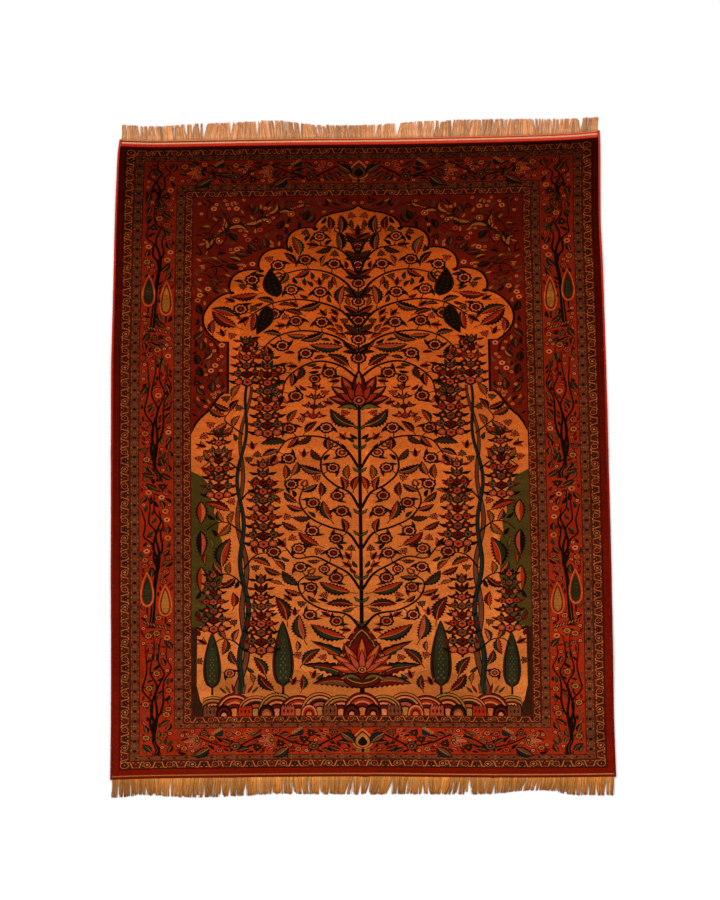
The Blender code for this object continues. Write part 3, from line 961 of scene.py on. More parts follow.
def flower_branch(design, ground, f, rng, line, n, r, fills, stem=9.0, leaf_len=52.0, end="bud", start=0.22):
    """Branch with rosettes left and right in turn, leaves between them."""
    first = len(design.shapes)
    f.add(stroke(line, stem, stem * 0.5), "ink")
    mark_from(design, ground, first)
    for k in range(n):
        t = start + (0.96 - start) * k / max(n - 1, 1)
        x, y, a = along(line, t)
        sg = 1 if k % 2 else -1
        for sign in (sg, -sg):
            turn = a + sign * 1.25
            d = r * 1.7
            px, py = x + d * math.cos(turn), y + d * math.sin(turn)
            g = f.at(px, py, turn)
            probe = g.out(disc(r * 1.15, n=8) + (r * 0.55, 0))
            if (f.twin and probe[:, 0].max() > -2.0) or not ground.free(probe):
                continue
            first = len(design.shapes)
            g.add(stroke([(-d, 0), (-d * 0.4, 3), (0, 0)], 6, 5), "ink")
            leafy_rosette(g, r, *fills[k % len(fills)])
            mark_from(design, ground, first)
            break
    for k in range(2 * n):
        t = 0.12 + 0.82 * k / max(2 * n - 1, 1)
        x, y, a = along(line, t)
        for sign in ((1, -1) if k % 2 else (-1, 1)):
            g = f.at(x, y, a + sign * 0.7)
            size = leaf_len * (1.0 if k % 3 else 1.35)
            shape = leaf(size, size * 0.40, 5, 0.15 * sign, 0.12)
            probe = g.out(shape + (8, 0))
            if (f.twin and probe[:, 0].max() > -2.0) or not ground.free(probe):
                continue
            first = len(design.shapes)
            one, two = (("green", "maroon"), ("ink", "red"), ("green", "umber"), ("brown", "ink"))[k % 4]
            saw_leaf(g, size, size * 0.27, 0.25 * sign, one, two, "orange" if k % 2 else None)
            mark_from(design, ground, first)
            break
    x, y, a = along(line, 1.0)
    first = len(design.shapes)
    if end == "bud":
        bud(f.at(x, y, a), r * 0.95, "red", "peach")
    elif end == "tulip":
        tulip(f.at(x, y, a), r * 1.3)
    elif end == "rosette":
        rosette(f.at(x, y, a), r, *fills[0])
    mark_from(design, ground, first)


def twisted_trunk(f, foot, head, wide, turns, sway):
    """Two stems that wind round each other from foot to head."""
    n = 46
    t = np.linspace(0, 1, n)
    (ax, ay), (bx, by) = foot, head
    mx = ax + (bx - ax) * t + sway * np.sin(2.2 * math.pi * t)
    my = ay + (by - ay) * t
    gap = wide * (0.60 - 0.12 * t) * np.cos(turns * math.pi * t + 0.4)
    one = np.stack([mx - gap, my], 1)
    two = np.stack([mx + gap, my], 1)
    f.add(stroke(one, wide * 1.20, wide * 0.55), "ink")
    f.add(stroke(one, wide * 0.80, wide * 0.30), "brown")
    f.add(stroke(two, wide * 1.05, wide * 0.5), "blueblack")
    f.add(stroke(two[::2] + (wide * 0.1, 0), wide * 0.28, wide * 0.1), "green")
    return np.stack([mx, my], 1)


def bush(f, half, tall, fill):
    """Clipped shrub with a scalloped top, growing along +x."""
    for grow, dye in ((1.0, "ink"), (0.86, fill)):
        u = np.linspace(0, 1, 21)
        top = tall * grow * (0.74 + 0.26 * np.abs(np.sin(5 * math.pi * u)) ** 0.6)
        flank = half * grow * (2 * u - 1)
        f.add(np.concatenate([[(0.0, -half * grow)], np.stack([top, flank], 1), [(0.0, half * grow)]]), dye)
    for v in (-0.5, 0.0, 0.5):
        f.at(tall * 0.18, v * half).add(leaf(tall * 0.42, half * 0.26, 4), "maroon" if v else "ink")


def mound_row(design, y0, y1, half):
    """Foot of the field: two rows of rounded hills in thin stripes, shrubs
    between the lower ones."""
    schemes = (
        ((1.0, "ink"), (0.96, "maroon"), (0.88, "peach"), (0.81, "ink"), (0.74, "red"), (0.62, "peach"), (0.55, "maroon"), (0.40, "ink"), (0.33, "orange")),
        ((1.0, "ink"), (0.96, "ochre"), (0.88, "ink"), (0.82, "ochre"), (0.73, "maroon"), (0.62, "peach"), (0.53, "ink"), (0.46, "maroon"), (0.30, "peach")),
        ((1.0, "ink"), (0.96, "orange"), (0.88, "ink"), (0.82, "peach"), (0.74, "umber"), (0.62, "ink"), (0.56, "rose"), (0.42, "ink"), (0.35, "ochre")),
    )

    def hill(x, tall, wide, rings):
        a = np.linspace(0, math.pi, 13)
        for s, dye in rings:
            pts = np.stack([x + wide * s * np.cos(a), y0 + tall * s * np.sin(a) ** 0.85], 1)
            design.add(np.clip(pts, (-half, y0), (half, y1 + 30)), dye)

    n = 15
    pitch = 2 * half / n
    for k in sorted(range(n), key=lambda k: (-abs(k - n // 2), k)):
        hill(-half + pitch * (k + 0.5), (y1 - y0) * (1.0 if k % 2 else 0.88), pitch * 0.92, schemes[abs(k - n // 2) % 3])
    for k in range(n + 1):
        order = abs(2 * k - n) // 2
        x = -half + pitch * k
        x = min(max(x, -half + pitch * 0.36), half - pitch * 0.36)
        if order % 2:
            bush(Frame(design, x, y0, math.pi / 2), pitch * 0.36, (y1 - y0) * 0.50, ("rose", "brown", "red")[order % 3])
        else:
            hill(x, (y1 - y0) * 0.50, pitch * 0.40, schemes[(order + 1) % 3][::2])


def corner_scroll(design, ground):
    """Leafy scroll of the upper corners: split leaves on a rolling stem."""
    f = Frame(design, 0, 0, 0, twin=True)
    first = len(design.shapes)
    line = smooth([(-742, 1300), (-700, 1420), (-610, 1486), (-520, 1500), (-440, 1560), (-340, 1596), (-240, 1622)], 6)
    f.add(stroke(line, 15, 9), "ink")
    f.add(stroke(line, 8, 4), "ochre")
    rows = (
        # along, side, length, dyes
        (0.04, 1, 96, "ochre", "umber"), (0.10, -1, 84, "ochre", "umber"), (0.24, 1, 118, "orange", "umber"),
        (0.33, -1, 100, "ochre", "umber"), (0.47, 1, 104, "ochre", "umber"), (0.55, -1, 88, "orange", "umber"),
        (0.68, 1, 84, "ochre", "umber"), (0.76, -1, 76, "ochre", "umber"), (0.90, 1, 62, "orange", "umber"),
    )
    for t, sg, size, one, two in rows:
        x, y, a = along(line, t)
        g = f.at(x, y, a + sg * 0.62)
        g.add(leaf(size, size * 0.46, 9, -0.55 * sg, 0.18, 0.7), "ink")
        mid, up, low = leaf_sides(size * 0.92, size * 0.36, 9, -0.55 * sg, 0.14, 0.7)
        g.add(np.concatenate([mid, up[-2:0:-1]]) + (size * 0.03, 0), one if sg > 0 else two)
        g.add(np.concatenate([mid, low[-2:0:-1]]) + (size * 0.03, 0), two if sg > 0 else one)
        g.add(stroke(mid[1:-1:2] + (size * 0.03, 0), size * 0.05, size * 0.02), "orange")
    for t, sg in ((0.17, -1), (0.40, 1), (0.62, -1), (0.84, -1)):
        x, y, a = along(line, t)
        g = f.at(x + 34 * math.cos(a + sg * 1.5), y + 34 * math.sin(a + sg * 1.5))
        blossom(g, 19, "orange", "maroon", "cream", 6)
    mark_from(design, ground, first)


def draw_field():
    """The arched garden and its corners."""
    design, rng, ground = Design(), random.Random(7), Ground()
    x0, x1, y0, y1 = level("field")
    half = -x0
    design.add(box(x0, x1, y0, y1), "madder")
    left, cusps = arch_half()
    gold_test = on_gold(left)

    def whole(scale_out):
        pts = np.array(left)
        if scale_out:
            g = np.gradient(pts, axis=0)
            g /= np.maximum(np.hypot(g[:, 0], g[:, 1])[:, None], 1e-9)
            pts = pts + np.stack([g[:, 1], -g[:, 0]], 1) * scale_out
            pts[:, 0] = np.clip(pts[:, 0], x0, 0)
            pts[0] = (0, pts[0][1] + 4)
        feet = box(x0, x1, y0, pts[-1][1])
        feet = [p for p in feet if not (abs(p[1] - pts[-1][1]) < 1e-6)]
        down = sorted([p for p in feet if p[0] == x0], key=lambda p: -p[1])
        floor = sorted([p for p in feet if p[1] == y0 and x0 < p[0] < x1], key=lambda p: p[0])
        rise = [(-p[0], p[1]) for p in down[::-1]]
        right = [(-p[0], p[1]) for p in pts[::-1]]
        loop = list(map(tuple, pts)) + list(map(tuple, down)) + list(map(tuple, floor)) + rise + right[:-1]
        return np.array(loop)

    design.add(whole(12.0), "ink")
    design.add(whole(0.0), "gold")
    for cx, cy in cusps[:-1]:
        f = Frame(design, cx, cy, 0, twin=True)
        f.add(disc(15, 12, n=8), "ink")

    # moss banks and the dark strip under them
    steps = 15
    bank = [(x0, -130.0)]
    for k in range(steps + 1):
        t = k / steps
        xx = x0 + 26 + 118 * math.sin(math.pi * min(1.0, 0.10 + 0.62 * t)) + (9 if k % 2 else -5)
        bank.append((xx, -170.0 - 880.0 * t))
    bank += [(x0 + 60, -1120.0), (x0, -1150.0)]
    tw = Frame(design, 0, 0, 0, twin=True)
    tw.add(bank, "moss")
    strip = [(x0, -1130.0), (x0 + 26, -1136.0), (x0 + 22, -1500.0), (x0 + 40, -1600.0), (x0 + 104, y0), (x0, y0)]
    tw.add(strip, "umber")
    first = len(design.shapes)
    for yy, s, c1, c2 in ((-400, 150, "orange", "red"), (-600, 170, "rose", "ink"), (-830, 170, "orange", "red")):
        saw_leaf(tw.at(x0 + 46, yy + s * 0.5, -math.pi / 2), s, 36, 0.05, c1, c2, None, 9)
    small = [(x0 + 88, -560, 80), (x0 + 92, -780, 86), (x0 + 96, -980, 76), (x0 + 36, -1010, 70)]
    for xx, yy, s in small:
        small_leaf(tw.at(xx, yy, -math.pi / 2 + 0.2), s, 20, "olive", "umber", 0.1)
    mark_from(design, ground, first)

    # foot: low rises of a deeper gold behind the striped hills
    ym = y0 + 146
    for rise, bumps, shift in ((120.0, 5, 0.3), (66.0, 7, 1.1)):
        xs = np.linspace(x0 + 100, -x0 - 100, 41)
        crest = ym + rise + 17 * np.cos(bumps * math.pi * xs / -x0 + 0.0 * shift) + 8 * np.cos(2.7 * bumps * xs / -x0)
        for drop, dye in ((0.0, "ochre"), (-6.0, "sand")):
            design.add([(x0 + 100, ym - 30)] + [(-x0 - 100, ym - 30)] + list(zip(xs[::-1], crest[::-1] + drop)), dye)
    mound_row(design, y0, ym, half - 50)
    ground.mark(box(x0, x1, y0, ym + 4))

    # middle tree
    first = len(design.shapes)
    c = Frame(design, 0, 0, math.pi / 2)
    trunk = smooth([(ym - 10, 0), (-1240, 0), (-700, 0), (300, 0)], 10)
    c.add(stroke(trunk, 24, 15), "ink")
    shield(c.at(-1530, 0), 270, 420)
    palmette(c.at(262, 0), 214, 262, "maroon", "red", "rose", "ink")
    c.add(stroke([(500, 0), (900, 0), (1480, 0)], 12, 7), "ink")
    mark_from(design, ground, first)
    fills_a = (("maroon", "orange", "ink", "maroon"), ("maroon", "peach", "ink", "red"), ("red", "peach", "ink", "orange"))
    fills_b = (("maroon", "orange", "ink", "red"), ("maroon", "peach", "ink", "maroon"))
    for k, y in enumerate((600, 724, 848, 972, 1096, 1220, 1340)):
        r = 42 - 1.6 * k
        first = len(design.shapes)
        rosette(c.at(y, 0), r, *fills_a[k % 2])
        mark_from(design, ground, first)
        first = len(design.shapes)
        for sg in (1, -1):
            g = c.at(y + 50, 0, sg * 0.95)
            saw_leaf(g, 96 - 3 * k, 25, 0.1 * sg, "green" if k % 2 else "ink", "maroon" if k % 2 else "red", None)
            g = c.at(y + 36, 0, sg * 1.5)
            saw_leaf(g, 80 - 3 * k, 20, -0.1 * sg, "ink", "maroon" if k % 2 else "umber", None)
        mark_from(design, ground, first)
    first = len(design.shapes)
    tulip(c.at(1404, 0), 62, "rose", "ink")
    for y, s in ((-1130, 60), (-985, 56), (-840, 56), (-560, 54), (-420, 52), (-150, 52), (0, 50), (130, 48)):
        for sg in (1, -1):
            g = c.at(y, 0, sg * 0.75)
            g.add(leaf(s, 20, 6, 0.1 * sg, 0.14), "green")
            g.add(leaf(s * 0.6, 8, 4, 0.1 * sg) + (10, 0), "olive")
    mark_from(design, ground, first)

    tw = Frame(design, 0, 0, 0, twin=True)
    # climbing stems at both sides
    first = len(design.shapes)
    col = twisted_trunk(tw, (-585, ym - 8), (-540, 420), 28, 7.0, 20)
    mark_from(design, ground, first)
    first = len(design.shapes)
    for k in range(7):
        g = tw.at(-585 + (k - 3) * 20, ym - 6, math.pi / 2 + (3 - k) * 0.22)
        g.add(leaf(74 - 6 * abs(k - 3), 15, 5), ("green", "brown", "maroon")[k % 3])
    mark_from(design, ground, first)

    # tall cypresses beside the middle tree
    first = len(design.shapes)
    cypress(tw.at(-375, ym - 14, math.pi / 2), 470, 104, "green", "umber", "olive")
    cypress(tw.at(-712, ym - 14, math.pi / 2), 400, 88, "green", "umber", "olive")
    mark_from(design, ground, first)

    # branches of the middle tree, low to high
    branches = (
        # points, rosettes, size, fills, end
        (((-6, -1150), (-70, -1060), (-180, -1030), (-270, -960), (-300, -860), (-250, -800)), 4, 31, fills_b, "bud"),
        (((-6, -900), (-60, -800), (-140, -740), (-220, -690), (-310, -700), (-360, -630)), 4, 33, fills_a, "tulip"),
        (((-5, -640), (-60, -540), (-150, -500), (-240, -440), (-290, -340), (-270, -240)), 4, 32, fills_b, "bud"),
        (((-5, -380), (-50, -280), (-120, -230), (-180, -150), (-180, -50), (-130, 20)), 3, 31, fills_a, "bud"),
        (((-5, -120), (-60, -10), (-150, 70), (-260, 90), (-350, 60), (-400, -30)), 4, 33, fills_b, "tulip"),
        (((-8, 470), (-90, 550), (-190, 580), (-280, 540), (-350, 460), (-370, 360)), 4, 34, fills_a, "tulip"),
        (((-6, 620), (-80, 720), (-180, 770), (-300, 780), (-400, 740), (-470, 660)), 5, 34, fills_b, "bud"),
        (((-6, 800), (-80, 910), (-190, 970), (-310, 990), (-430, 960), (-530, 880)), 5, 34, fills_a, "tulip"),
        (((-6, 990), (-60, 1100), (-150, 1170), (-260, 1190), (-370, 1160)), 4, 33, fills_b, "bud"),
        (((-5, 1160), (-40, 1260), (-100, 1330), (-190, 1350)), 3, 31, fills_a, "tulip"),
        (((-4, 1290), (-40, 1380), (-90, 1440)), 2, 26, fills_b, "bud"),
    )
    for pts, n, r, fills, end in branches:
        flower_branch(design, ground, tw, rng, smooth(pts, 6), n, r * 1.2, fills, 15.0, 92, end)

    # branches of the side stems
    side = (
        # share of the stem, points from there, leaves
        (0.14, ((0, 0), (-50, 60), (-110, 70), (-150, 20)), 4),
        (0.20, ((0, 0), (60, 70), (110, 60), (150, 0)), 4),
        (0.34, ((0, 0), (-50, 70), (-110, 90), (-160, 40)), 5),
        (0.40, ((0, 0), (50, 80), (110, 100), (150, 50)), 5),
        (0.52, ((0, 0), (-60, 60), (-120, 60), (-170, 10)), 5),
        (0.62, ((0, 0), (50, 70), (100, 80), (140, 40)), 4),
        (0.72, ((0, 0), (-60, 60), (-130, 70), (-190, 20)), 5),
        (0.84, ((0, 0), (-50, 50), (-90, 100), (-60, 160)), 4),
    )
    for share, pts, n in side:
        x, y, _a = along(col, share)
        g = tw.at(x, y)
        line = smooth(pts, 6)
        first = len(design.shapes)
        g.add(stroke(line, 10, 5), "ink")
        mark_from(design, ground, first)
        for k in range(n):
            px, py, a = along(line, 0.35 + 0.63 * k / (n - 1))
            for turn, size in ((a - math.copysign(1.5, pts[-1][0]), 104), (a + math.copysign(1.2, pts[-1][0]), 84), (a, 84)):
                h = g.at(px, py, turn)
                probe = h.out(leaf(size, size * 0.32, 8) + (8, 0))
                if probe[:, 0].max() < -3 and probe[:, 0].min() > x0 + 2 and ground.free(probe):
                    first = len(design.shapes)
                    c1, c2 = (("green", "red"), ("ink", "maroon"), ("olive", "red"), ("green", "rose"))[(k + int(share * 50)) % 4]
                    saw_leaf(h, size, size * 0.26, 0.3, c1, c2, "orange", 11)
                    mark_from(design, ground, first)

    # stacked flowers at the head of the side stems and between them
    spikes = (
        # x, y, turn, height, width, flower, tiers
        (-536, 420, 0.03, 340, 150, "rose", 6),
        (-440, 60, 0.0, 620, 160, "rose", 10),
        (-676, -330, 0.0, 500, 150, "rose", 8),
        (-464, -660, 0.0, 640, 162, "rose", 10),
        (-704, -1180, 0.0, 430, 142, "rose", 7),
        (-478, -1330, 0.0, 560, 156, "rose", 9),
        (-326, 480, 0.0, 340, 140, "rose", 6),
        (-330, -300, 0.0, 380, 140, "red", 6),
    )
    for x, y, turn, h, w, flower, tiers in spikes:
        g = tw.at(x, y, math.pi / 2 + turn)
        trial = Design()
        spike(Frame(trial, x, y, math.pi / 2 + turn), h, w, flower, "ink", "maroon", tiers)
        hit = np.mean([0.0 if ground.free(p) else 1.0 for p, _ in trial.shapes])
        if hit > 0.62:
            continue
        first = len(design.shapes)
        spike(g, h, w, flower, "ink" if tiers % 2 else "green", "maroon", tiers)
        mark_from(design, ground, first)

    # large dark leaves
    for x, y, turn, h, w in ((-392, 1006, 0.20, 196, 84), (-436, 950, 2.85, 200, 74)):
        g = tw.at(x, y, math.pi / 2 + turn)
        first = len(design.shapes)
        flame(g, h, w, "ink", "umber", "green")
        mark_from(design, ground, first)

    # great toothed leaves round the middle tree
    great = (
        # x, y, turn from upright, length, bend, dyes
        (-26, -1080, 1.05, 215, 0.5, "green", "maroon"), (-20, -985, 0.72, 200, 0.4, "ink", "red"),
        (-24, -770, 1.15, 190, 0.5, "green", "umber"), (-18, -520, 1.0, 180, 0.4, "ink", "maroon"),
        (-20, -255, 1.1, 185, 0.4, "green", "red"), (-22, 30, 1.2, 190, 0.4, "ink", "maroon"),
        (-18, 150, 0.8, 170, 0.4, "green", "umber"), (-130, -1290, 1.35, 210, -0.4, "brown", "ink"),
        (-210, -1370, 1.0, 200, 0.4, "ink", "maroon"), (-330, -1370, 1.2, 190, -0.3, "green", "red"),
    )
    for x, y, turn, size, bend, one, two in great:
        g = tw.at(x, y, math.pi / 2 + turn)
        probe = g.out(leaf(size * 0.9, size * 0.26, 8, bend) + (24, 0))
        if not ground.free(probe):
            continue
        first = len(design.shapes)
        saw_leaf(g, size, size * 0.25, bend, one, two, "orange", 14)
        mark_from(design, ground, first)

    # corners
    corner_scroll(design, ground)
    vines = tw
    vrng = random.Random(41)
    for k in range(90):
        x, y = vrng.uniform(x0 + 20, -80), vrng.uniform(130, y1 - 20)
        if gold_test(x, y, -46) or not x0 + 12 < x < -20:
            continue
        a = vrng.uniform(0, 6.28)
        line, bend = [(x, y)], vrng.uniform(-0.5, 0.5)
        for _ in range(6):
            a += bend
            px, py = line[-1][0] + 24 * math.cos(a), line[-1][1] + 24 * math.sin(a)
            if gold_test(px, py, -24) or not (x0 + 8 < px < -8 and py < y1 - 8):
                break
            line.append((px, py))
        if len(line) > 3:
            first = len(design.shapes)
            vines.add(stroke(smooth(line, 2), 9, 5), ("ink", "umber", "maroon")[k % 3])
            mark_from(design, ground, first)

    # loose leaves and flowers on the free ground
    def head(x, y):
        return math.pi / 2 + 0.55 + 0.9 * math.sin(y / 230.0 + x / 170.0)

    region = (x0 + 4, -3, ym, 1600, lambda x, y: gold_test(x, y, 9) and y > ym + 3)

    def cut(length, wide, bend=0.15):
        return leaf(length, wide, 6, bend) + (0, 0)

    pairs = (("green", "red"), ("ink", "maroon"), ("maroon", "red"), ("green", "rose"), ("umber", "maroon"), ("green", "maroon"), ("olive", "red"))

    def saw(length):
        def draw(g, r):
            a, b = pairs[r.randrange(len(pairs))]
            saw_leaf(g, length, length * 0.26, 0.25, a, b, "orange", 13 if length > 120 else 9)
            g.add(stroke(smooth([(-length * 0.22, -length * 0.06), (-length * 0.1, -length * 0.02), (2, 0)], 2), 5, 4), "ink")
        return draw

    def lone_spike(h, w, tiers):
        def draw(g, r):
            spike(g, h, w, ("rose", "red", "rose")[r.randrange(3)], ("ink", "green")[r.randrange(2)], "maroon", tiers)
        return draw

    def upward(x, y):
        return math.pi / 2 + 0.35 * math.sin(y / 190.0 + x / 120.0)

    def with_leaves(r0):
        return lambda g, r: leafy_rosette(g, r0, *fills_a[r.randrange(3)])

    tall = [(leaf(310, 100, 8), lone_spike(310, 128, 6)), (leaf(230, 84, 8), lone_spike(230, 108, 4))]
    huge = [(cut(196, 68, 0.2), saw(190)), (cut(170, 60, 0.2), saw(164))]
    big = [(cut(138, 51), saw(132)), (cut(138, 51), saw(132)), (disc(49, n=10), with_leaves(40))]
    mid = [(cut(100, 38), saw(96)), (cut(100, 38), saw(96)), (disc(38, n=8), with_leaves(31)),
           (cut(72, 38), lambda g, r: tulip(g, 42, "rose", "ink"))]
    low = [(cut(70, 27), saw(66)), (disc(22, n=8), lambda g, r: cluster(g, 19, ("rose", "brown")[r.randrange(2)])),
           (cut(56, 23), lambda g, r: small_leaf(g, 54, 22, ("green", "ink", "maroon")[r.randrange(3)], "ink", 0.2))]
    scatter(design, ground, rng, region, 900, tall, upward, clear=1.0)
    scatter(design, ground, rng, region, 1600, huge, head, clear=0.98)
    scatter(design, ground, rng, region, 2600, big, head, clear=0.98)
    scatter(design, ground, rng, region, 3600, mid, head, clear=0.92)
    scatter(design, ground, rng, region, 2800, low, head, clear=0.94)
    upper = (x0 + 4, -3, 760, 1600, lambda x, y: gold_test(x, y, 7))
    scatter(design, ground, rng, upper, 1500, big[:2] + mid[:2], head, clear=0.88)
    scatter(design, ground, rng, upper, 2200, low, head, clear=0.90)

    region = (x0 + 4, -3, 20, y1 - 6, lambda x, y: x0 + 4 < x and y < y1 - 6 and not gold_test(x, y, -16) and y > ARCH["flare"][1] + 20)
    corner_1 = [
        (disc(20, n=8), lambda g, r: small_flower(g, 18, ("peach", "orange")[r.randrange(2)], "ink", 4)),
        (disc(20, n=8), lambda g, r: small_flower(g, 18, ("peach", "rose")[r.randrange(2)], "maroon", 5)),
        (cut(74, 26), lambda g, r: saw_leaf(g, 70, 23, 0.15, ("ochre", "brown")[r.randrange(2)], "umber", None, 7)),
        (disc(23, n=8), lambda g, r: cluster(g, 18, ("umber", "maroon", "brown")[r.randrange(3)], "ink", "rose")),
        (cut(80, 30), lambda g, r: saw_leaf(g, 74, 25, 0.15, "umber", "brown", None, 7)),
        (cut(80, 30), lambda g, r: saw_leaf(g, 74, 25, 0.15, "umber", "ink", None, 7)),
    ]
    corner_2 = [
        (cut(52, 19), lambda g, r: small_leaf(g, 50, 18, ("umber", "ink", "brown", "ink")[r.randrange(4)], None, 0.2)),
        (cut(52, 19), lambda g, r: small_leaf(g, 50, 18, ("umber", "ink", "maroon", "ink")[r.randrange(4)], None, 0.2)),
        (disc(13, n=6), lambda g, r: small_flower(g, 11, ("peach", "brown", "orange")[r.randrange(3)], "maroon", 4)),
    ]
    corner_3 = [(cut(36, 13), lambda g, r: small_leaf(g, 34, 12, ("ochre", "brown", "ink", "umber")[r.randrange(4)], None, 0.2))]
    scatter(design, ground, rng, region, 900, corner_1, head, clear=0.95)
    scatter(design, ground, rng, region, 2000, corner_2, head, clear=1.0)
    scatter(design, ground, rng, region, 2400, corner_3, head, clear=1.0)
    return design


# ------------------------------------------------------- the shape it lies in
LENGTH, WIDTH = 3.10, 2.389
PILE_THICK, WEAVE_THICK = 0.008, 0.0035
CORD_WIDE, CORD_HIGH, GAP = 0.012, 0.009, 0.0003
SHIFT = np.array([-0.0014711618, 0.0045876503])    # how far the plan is moved to centre it

SIDES = (
    # along   left_x   right_x
    (-1.550, -1.1770, 1.2050),
    (-1.300, -1.1780, 1.2000),
    (-1.100, -1.1810, 1.2000),
    (-0.700, -1.1890, 1.2010),
    (-0.340, -1.1960, 1.1995),
    (0.050, -1.2030, 1.1960),
    (0.440, -1.2080, 1.1930),
    (0.830, -1.2055, 1.1865),
    (1.080, -1.2045, 1.1805),
    (1.350, -1.2000, 1.1835),
    (1.480, -1.1960, 1.1850),
    (1.550, -1.1880, 1.1835),
)
ENDS = (
    # across  near_y   far_y
    (-1.190, -1.5620, 1.5390),
    (-1.020, -1.5560, 1.5340),
    (-0.700, -1.5515, 1.5390),
    (-0.300, -1.5470, 1.5450),
    (0.100, -1.5455, 1.5480),
    (0.480, -1.5495, 1.5550),
    (0.800, -1.5505, 1.5630),
    (1.040, -1.5490, 1.5730),
    (1.190, -1.5470, 1.5860),
)
FRINGES = (
    # across  near_len  far_len
    (-1.190, 0.086, 0.079),
    (-1.020, 0.077, 0.074),
    (-0.800, 0.090, 0.083),
    (-0.560, 0.086, 0.090),
    (-0.400, 0.079, 0.093),
    (-0.200, 0.081, 0.070),
    (0.080, 0.083, 0.069),
    (0.320, 0.080, 0.083),
    (0.620, 0.076, 0.086),
    (0.760, 0.063, 0.084),
    (0.900, 0.061, 0.080),
    (1.000, 0.080, 0.075),
    (1.190, 0.086, 0.071),
)
CREASES = (
    # runs_along, at, height, half_width, wander
    ("length", -0.600, 0.0030, 0.050, 0.007),
    ("length", 0.022, 0.0034, 0.055, 0.009),
    ("length", 0.632, 0.0028, 0.050, 0.006),
    ("width", 0.745, 0.0022, 0.055, 0.008),
    ("width", -0.020, 0.0042, 0.060, 0.007),
    ("width", -0.790, 0.0024, 0.055, 0.010),
)
EDGE_LIFTS = (
    # side, along, height, reach_along, reach_in
    ("left", 1.230, 0.0030, 0.220, 0.160),
    ("left", 0.420, 0.0040, 0.260, 0.180),
    ("left", -0.620, 0.0032, 0.240, 0.150),
    ("right", 0.930, 0.0038, 0.230, 0.170),
    ("right", 0.150, 0.0028, 0.200, 0.140),
    ("right", -0.980, 0.0042, 0.260, 0.180),
)


def table(rows, column, at):
    """A table's column at many positions, by cubic pieces."""
    xs = np.array([r[0] for r in rows])
    ys = np.array([r[column] for r in rows])
    at = np.clip(np.asarray(at, float), xs[0], xs[-1])
    i = np.clip(np.searchsorted(xs, at, side="right") - 1, 0, len(xs) - 2)
    lo = np.maximum(np.arange(len(xs)) - 1, 0)
    hi = np.minimum(np.arange(len(xs)) + 1, len(xs) - 1)
    slope = (ys[hi] - ys[lo]) / (xs[hi] - xs[lo])
    h = xs[i + 1] - xs[i]
    t = (at - xs[i]) / h
    return ((2 * t ** 3 - 3 * t ** 2 + 1) * ys[i] + (t ** 3 - 2 * t ** 2 + t) * h * slope[i]
            + (3 * t ** 2 - 2 * t ** 3) * ys[i + 1] + (t ** 3 - t ** 2) * h * slope[i + 1])


def bell_curve(d, half_width):
    d = np.abs(d) / half_width
    return np.where(d < 1.0, 0.5 + 0.5 * np.cos(np.pi * np.minimum(d, 1.0)), 0.0)


def crease_at(row, along_it):
    _, at, _, _, wander = row
    return at + wander * np.sin(2.3 * along_it + 5.0 * at) + 0.4 * wander * np.sin(6.1 * along_it + at)


def lift(x, y):
    """Height of the underside over the floor, before the plan is centred."""
    z = np.zeros_like(x)
    for row in CREASES:
        runs, at, height, half, _ = row
        a, b = (y, x) if runs == "length" else (x, y)
        swell = 0.72 + 0.28 * np.sin(2.9 * a + 9.0 * at)
        z = np.maximum(z, height * swell * bell_curve(b - crease_at(row, a), half))
    for side, at, height, reach_along, reach_in in EDGE_LIFTS:
        edge = table(SIDES, 1 if side == "left" else 2, y)
        z = np.maximum(z, height * bell_curve(y - at, reach_along) * bell_curve(x - edge, reach_in))
    return z


def lift_normal(x, y):
    """Upward normal of the lying cloth."""
    e = 0.0015
    dx = (lift(x + e, y) - lift(x - e, y)) / (2 * e)
    dy = (lift(x, y + e) - lift(x, y - e)) / (2 * e)
    n = np.stack([-dx, -dy, np.ones_like(dx)], 1)
    return n / np.linalg.norm(n, axis=1)[:, None]


def painted_crease_highlight(x, y):
    """Painted highlight beside the folds, 0 to 1: how much lighter the pile is drawn on one side of each crease."""
    v = np.zeros_like(x)
    for k, row in enumerate(CREASES):
        runs, at, height, half, _ = row
        a, b = (y, x) if runs == "length" else (x, y)
        d = b - crease_at(row, a)
        strong = np.clip(0.45 + 0.55 * np.sin(3.7 * a + 11.0 * at + k) + 0.25 * np.sin(13.0 * a + k), 0, 1)
        side = 0.012 if runs == "length" else 0.016
        v = np.maximum(v, strong * np.exp(-((d - side) / 0.011) ** 2) * (0.8 if runs == "length" else 1.0))
    return v


def warp(p):
    """Drawn position in mm to the plan in metres, before it is centred."""
    inset = CORD_WIDE + GAP
    s = (p[:, 0] + HALF_W - EDGE_SIDE) / (2 * (HALF_W - EDGE_SIDE))
    t = (p[:, 1] + HALF_L) / (2 * HALF_L)
    y0 = -0.5 * LENGTH + LENGTH * t
    left, right = table(SIDES, 1, y0), table(SIDES, 2, y0)
    x = left + inset + (right - left - 2 * inset) * s
    near, far = table(ENDS, 1, x), table(ENDS, 2, x)
    return np.stack([x, near + (far - near) * t], 1)


# ------------------------------------------------------------- woven meshes
def linear(c):
    c = np.asarray(c, float) / 255.0
    return np.where(c <= 0.04045, c / 12.92, ((c + 0.055) / 1.055) ** 2.4)


DYE_NAMES = sorted(DYES_WITH_PAINTED_SHADE)
DYE_SHADE_TABLE = np.array([[linear(c) for c in DYES_WITH_PAINTED_SHADE[n]] for n in DYE_NAMES])


def dyed_and_shaded(index, y):
    """Linear colour of each dye index at a place along the rug (mm), darkened towards the far end as painted shade."""
    far, upper, near = DYE_SHADE_TABLE[index, 0], DYE_SHADE_TABLE[index, 1], DYE_SHADE_TABLE[index, 2]
    a = np.clip((y - 700.0) / 800.0, 0, 1)[:, None]
    b = np.clip((700.0 - y) / 2200.0, 0, 1)[:, None]
    return upper * (1 - a) * (1 - b) + far * a + near * b


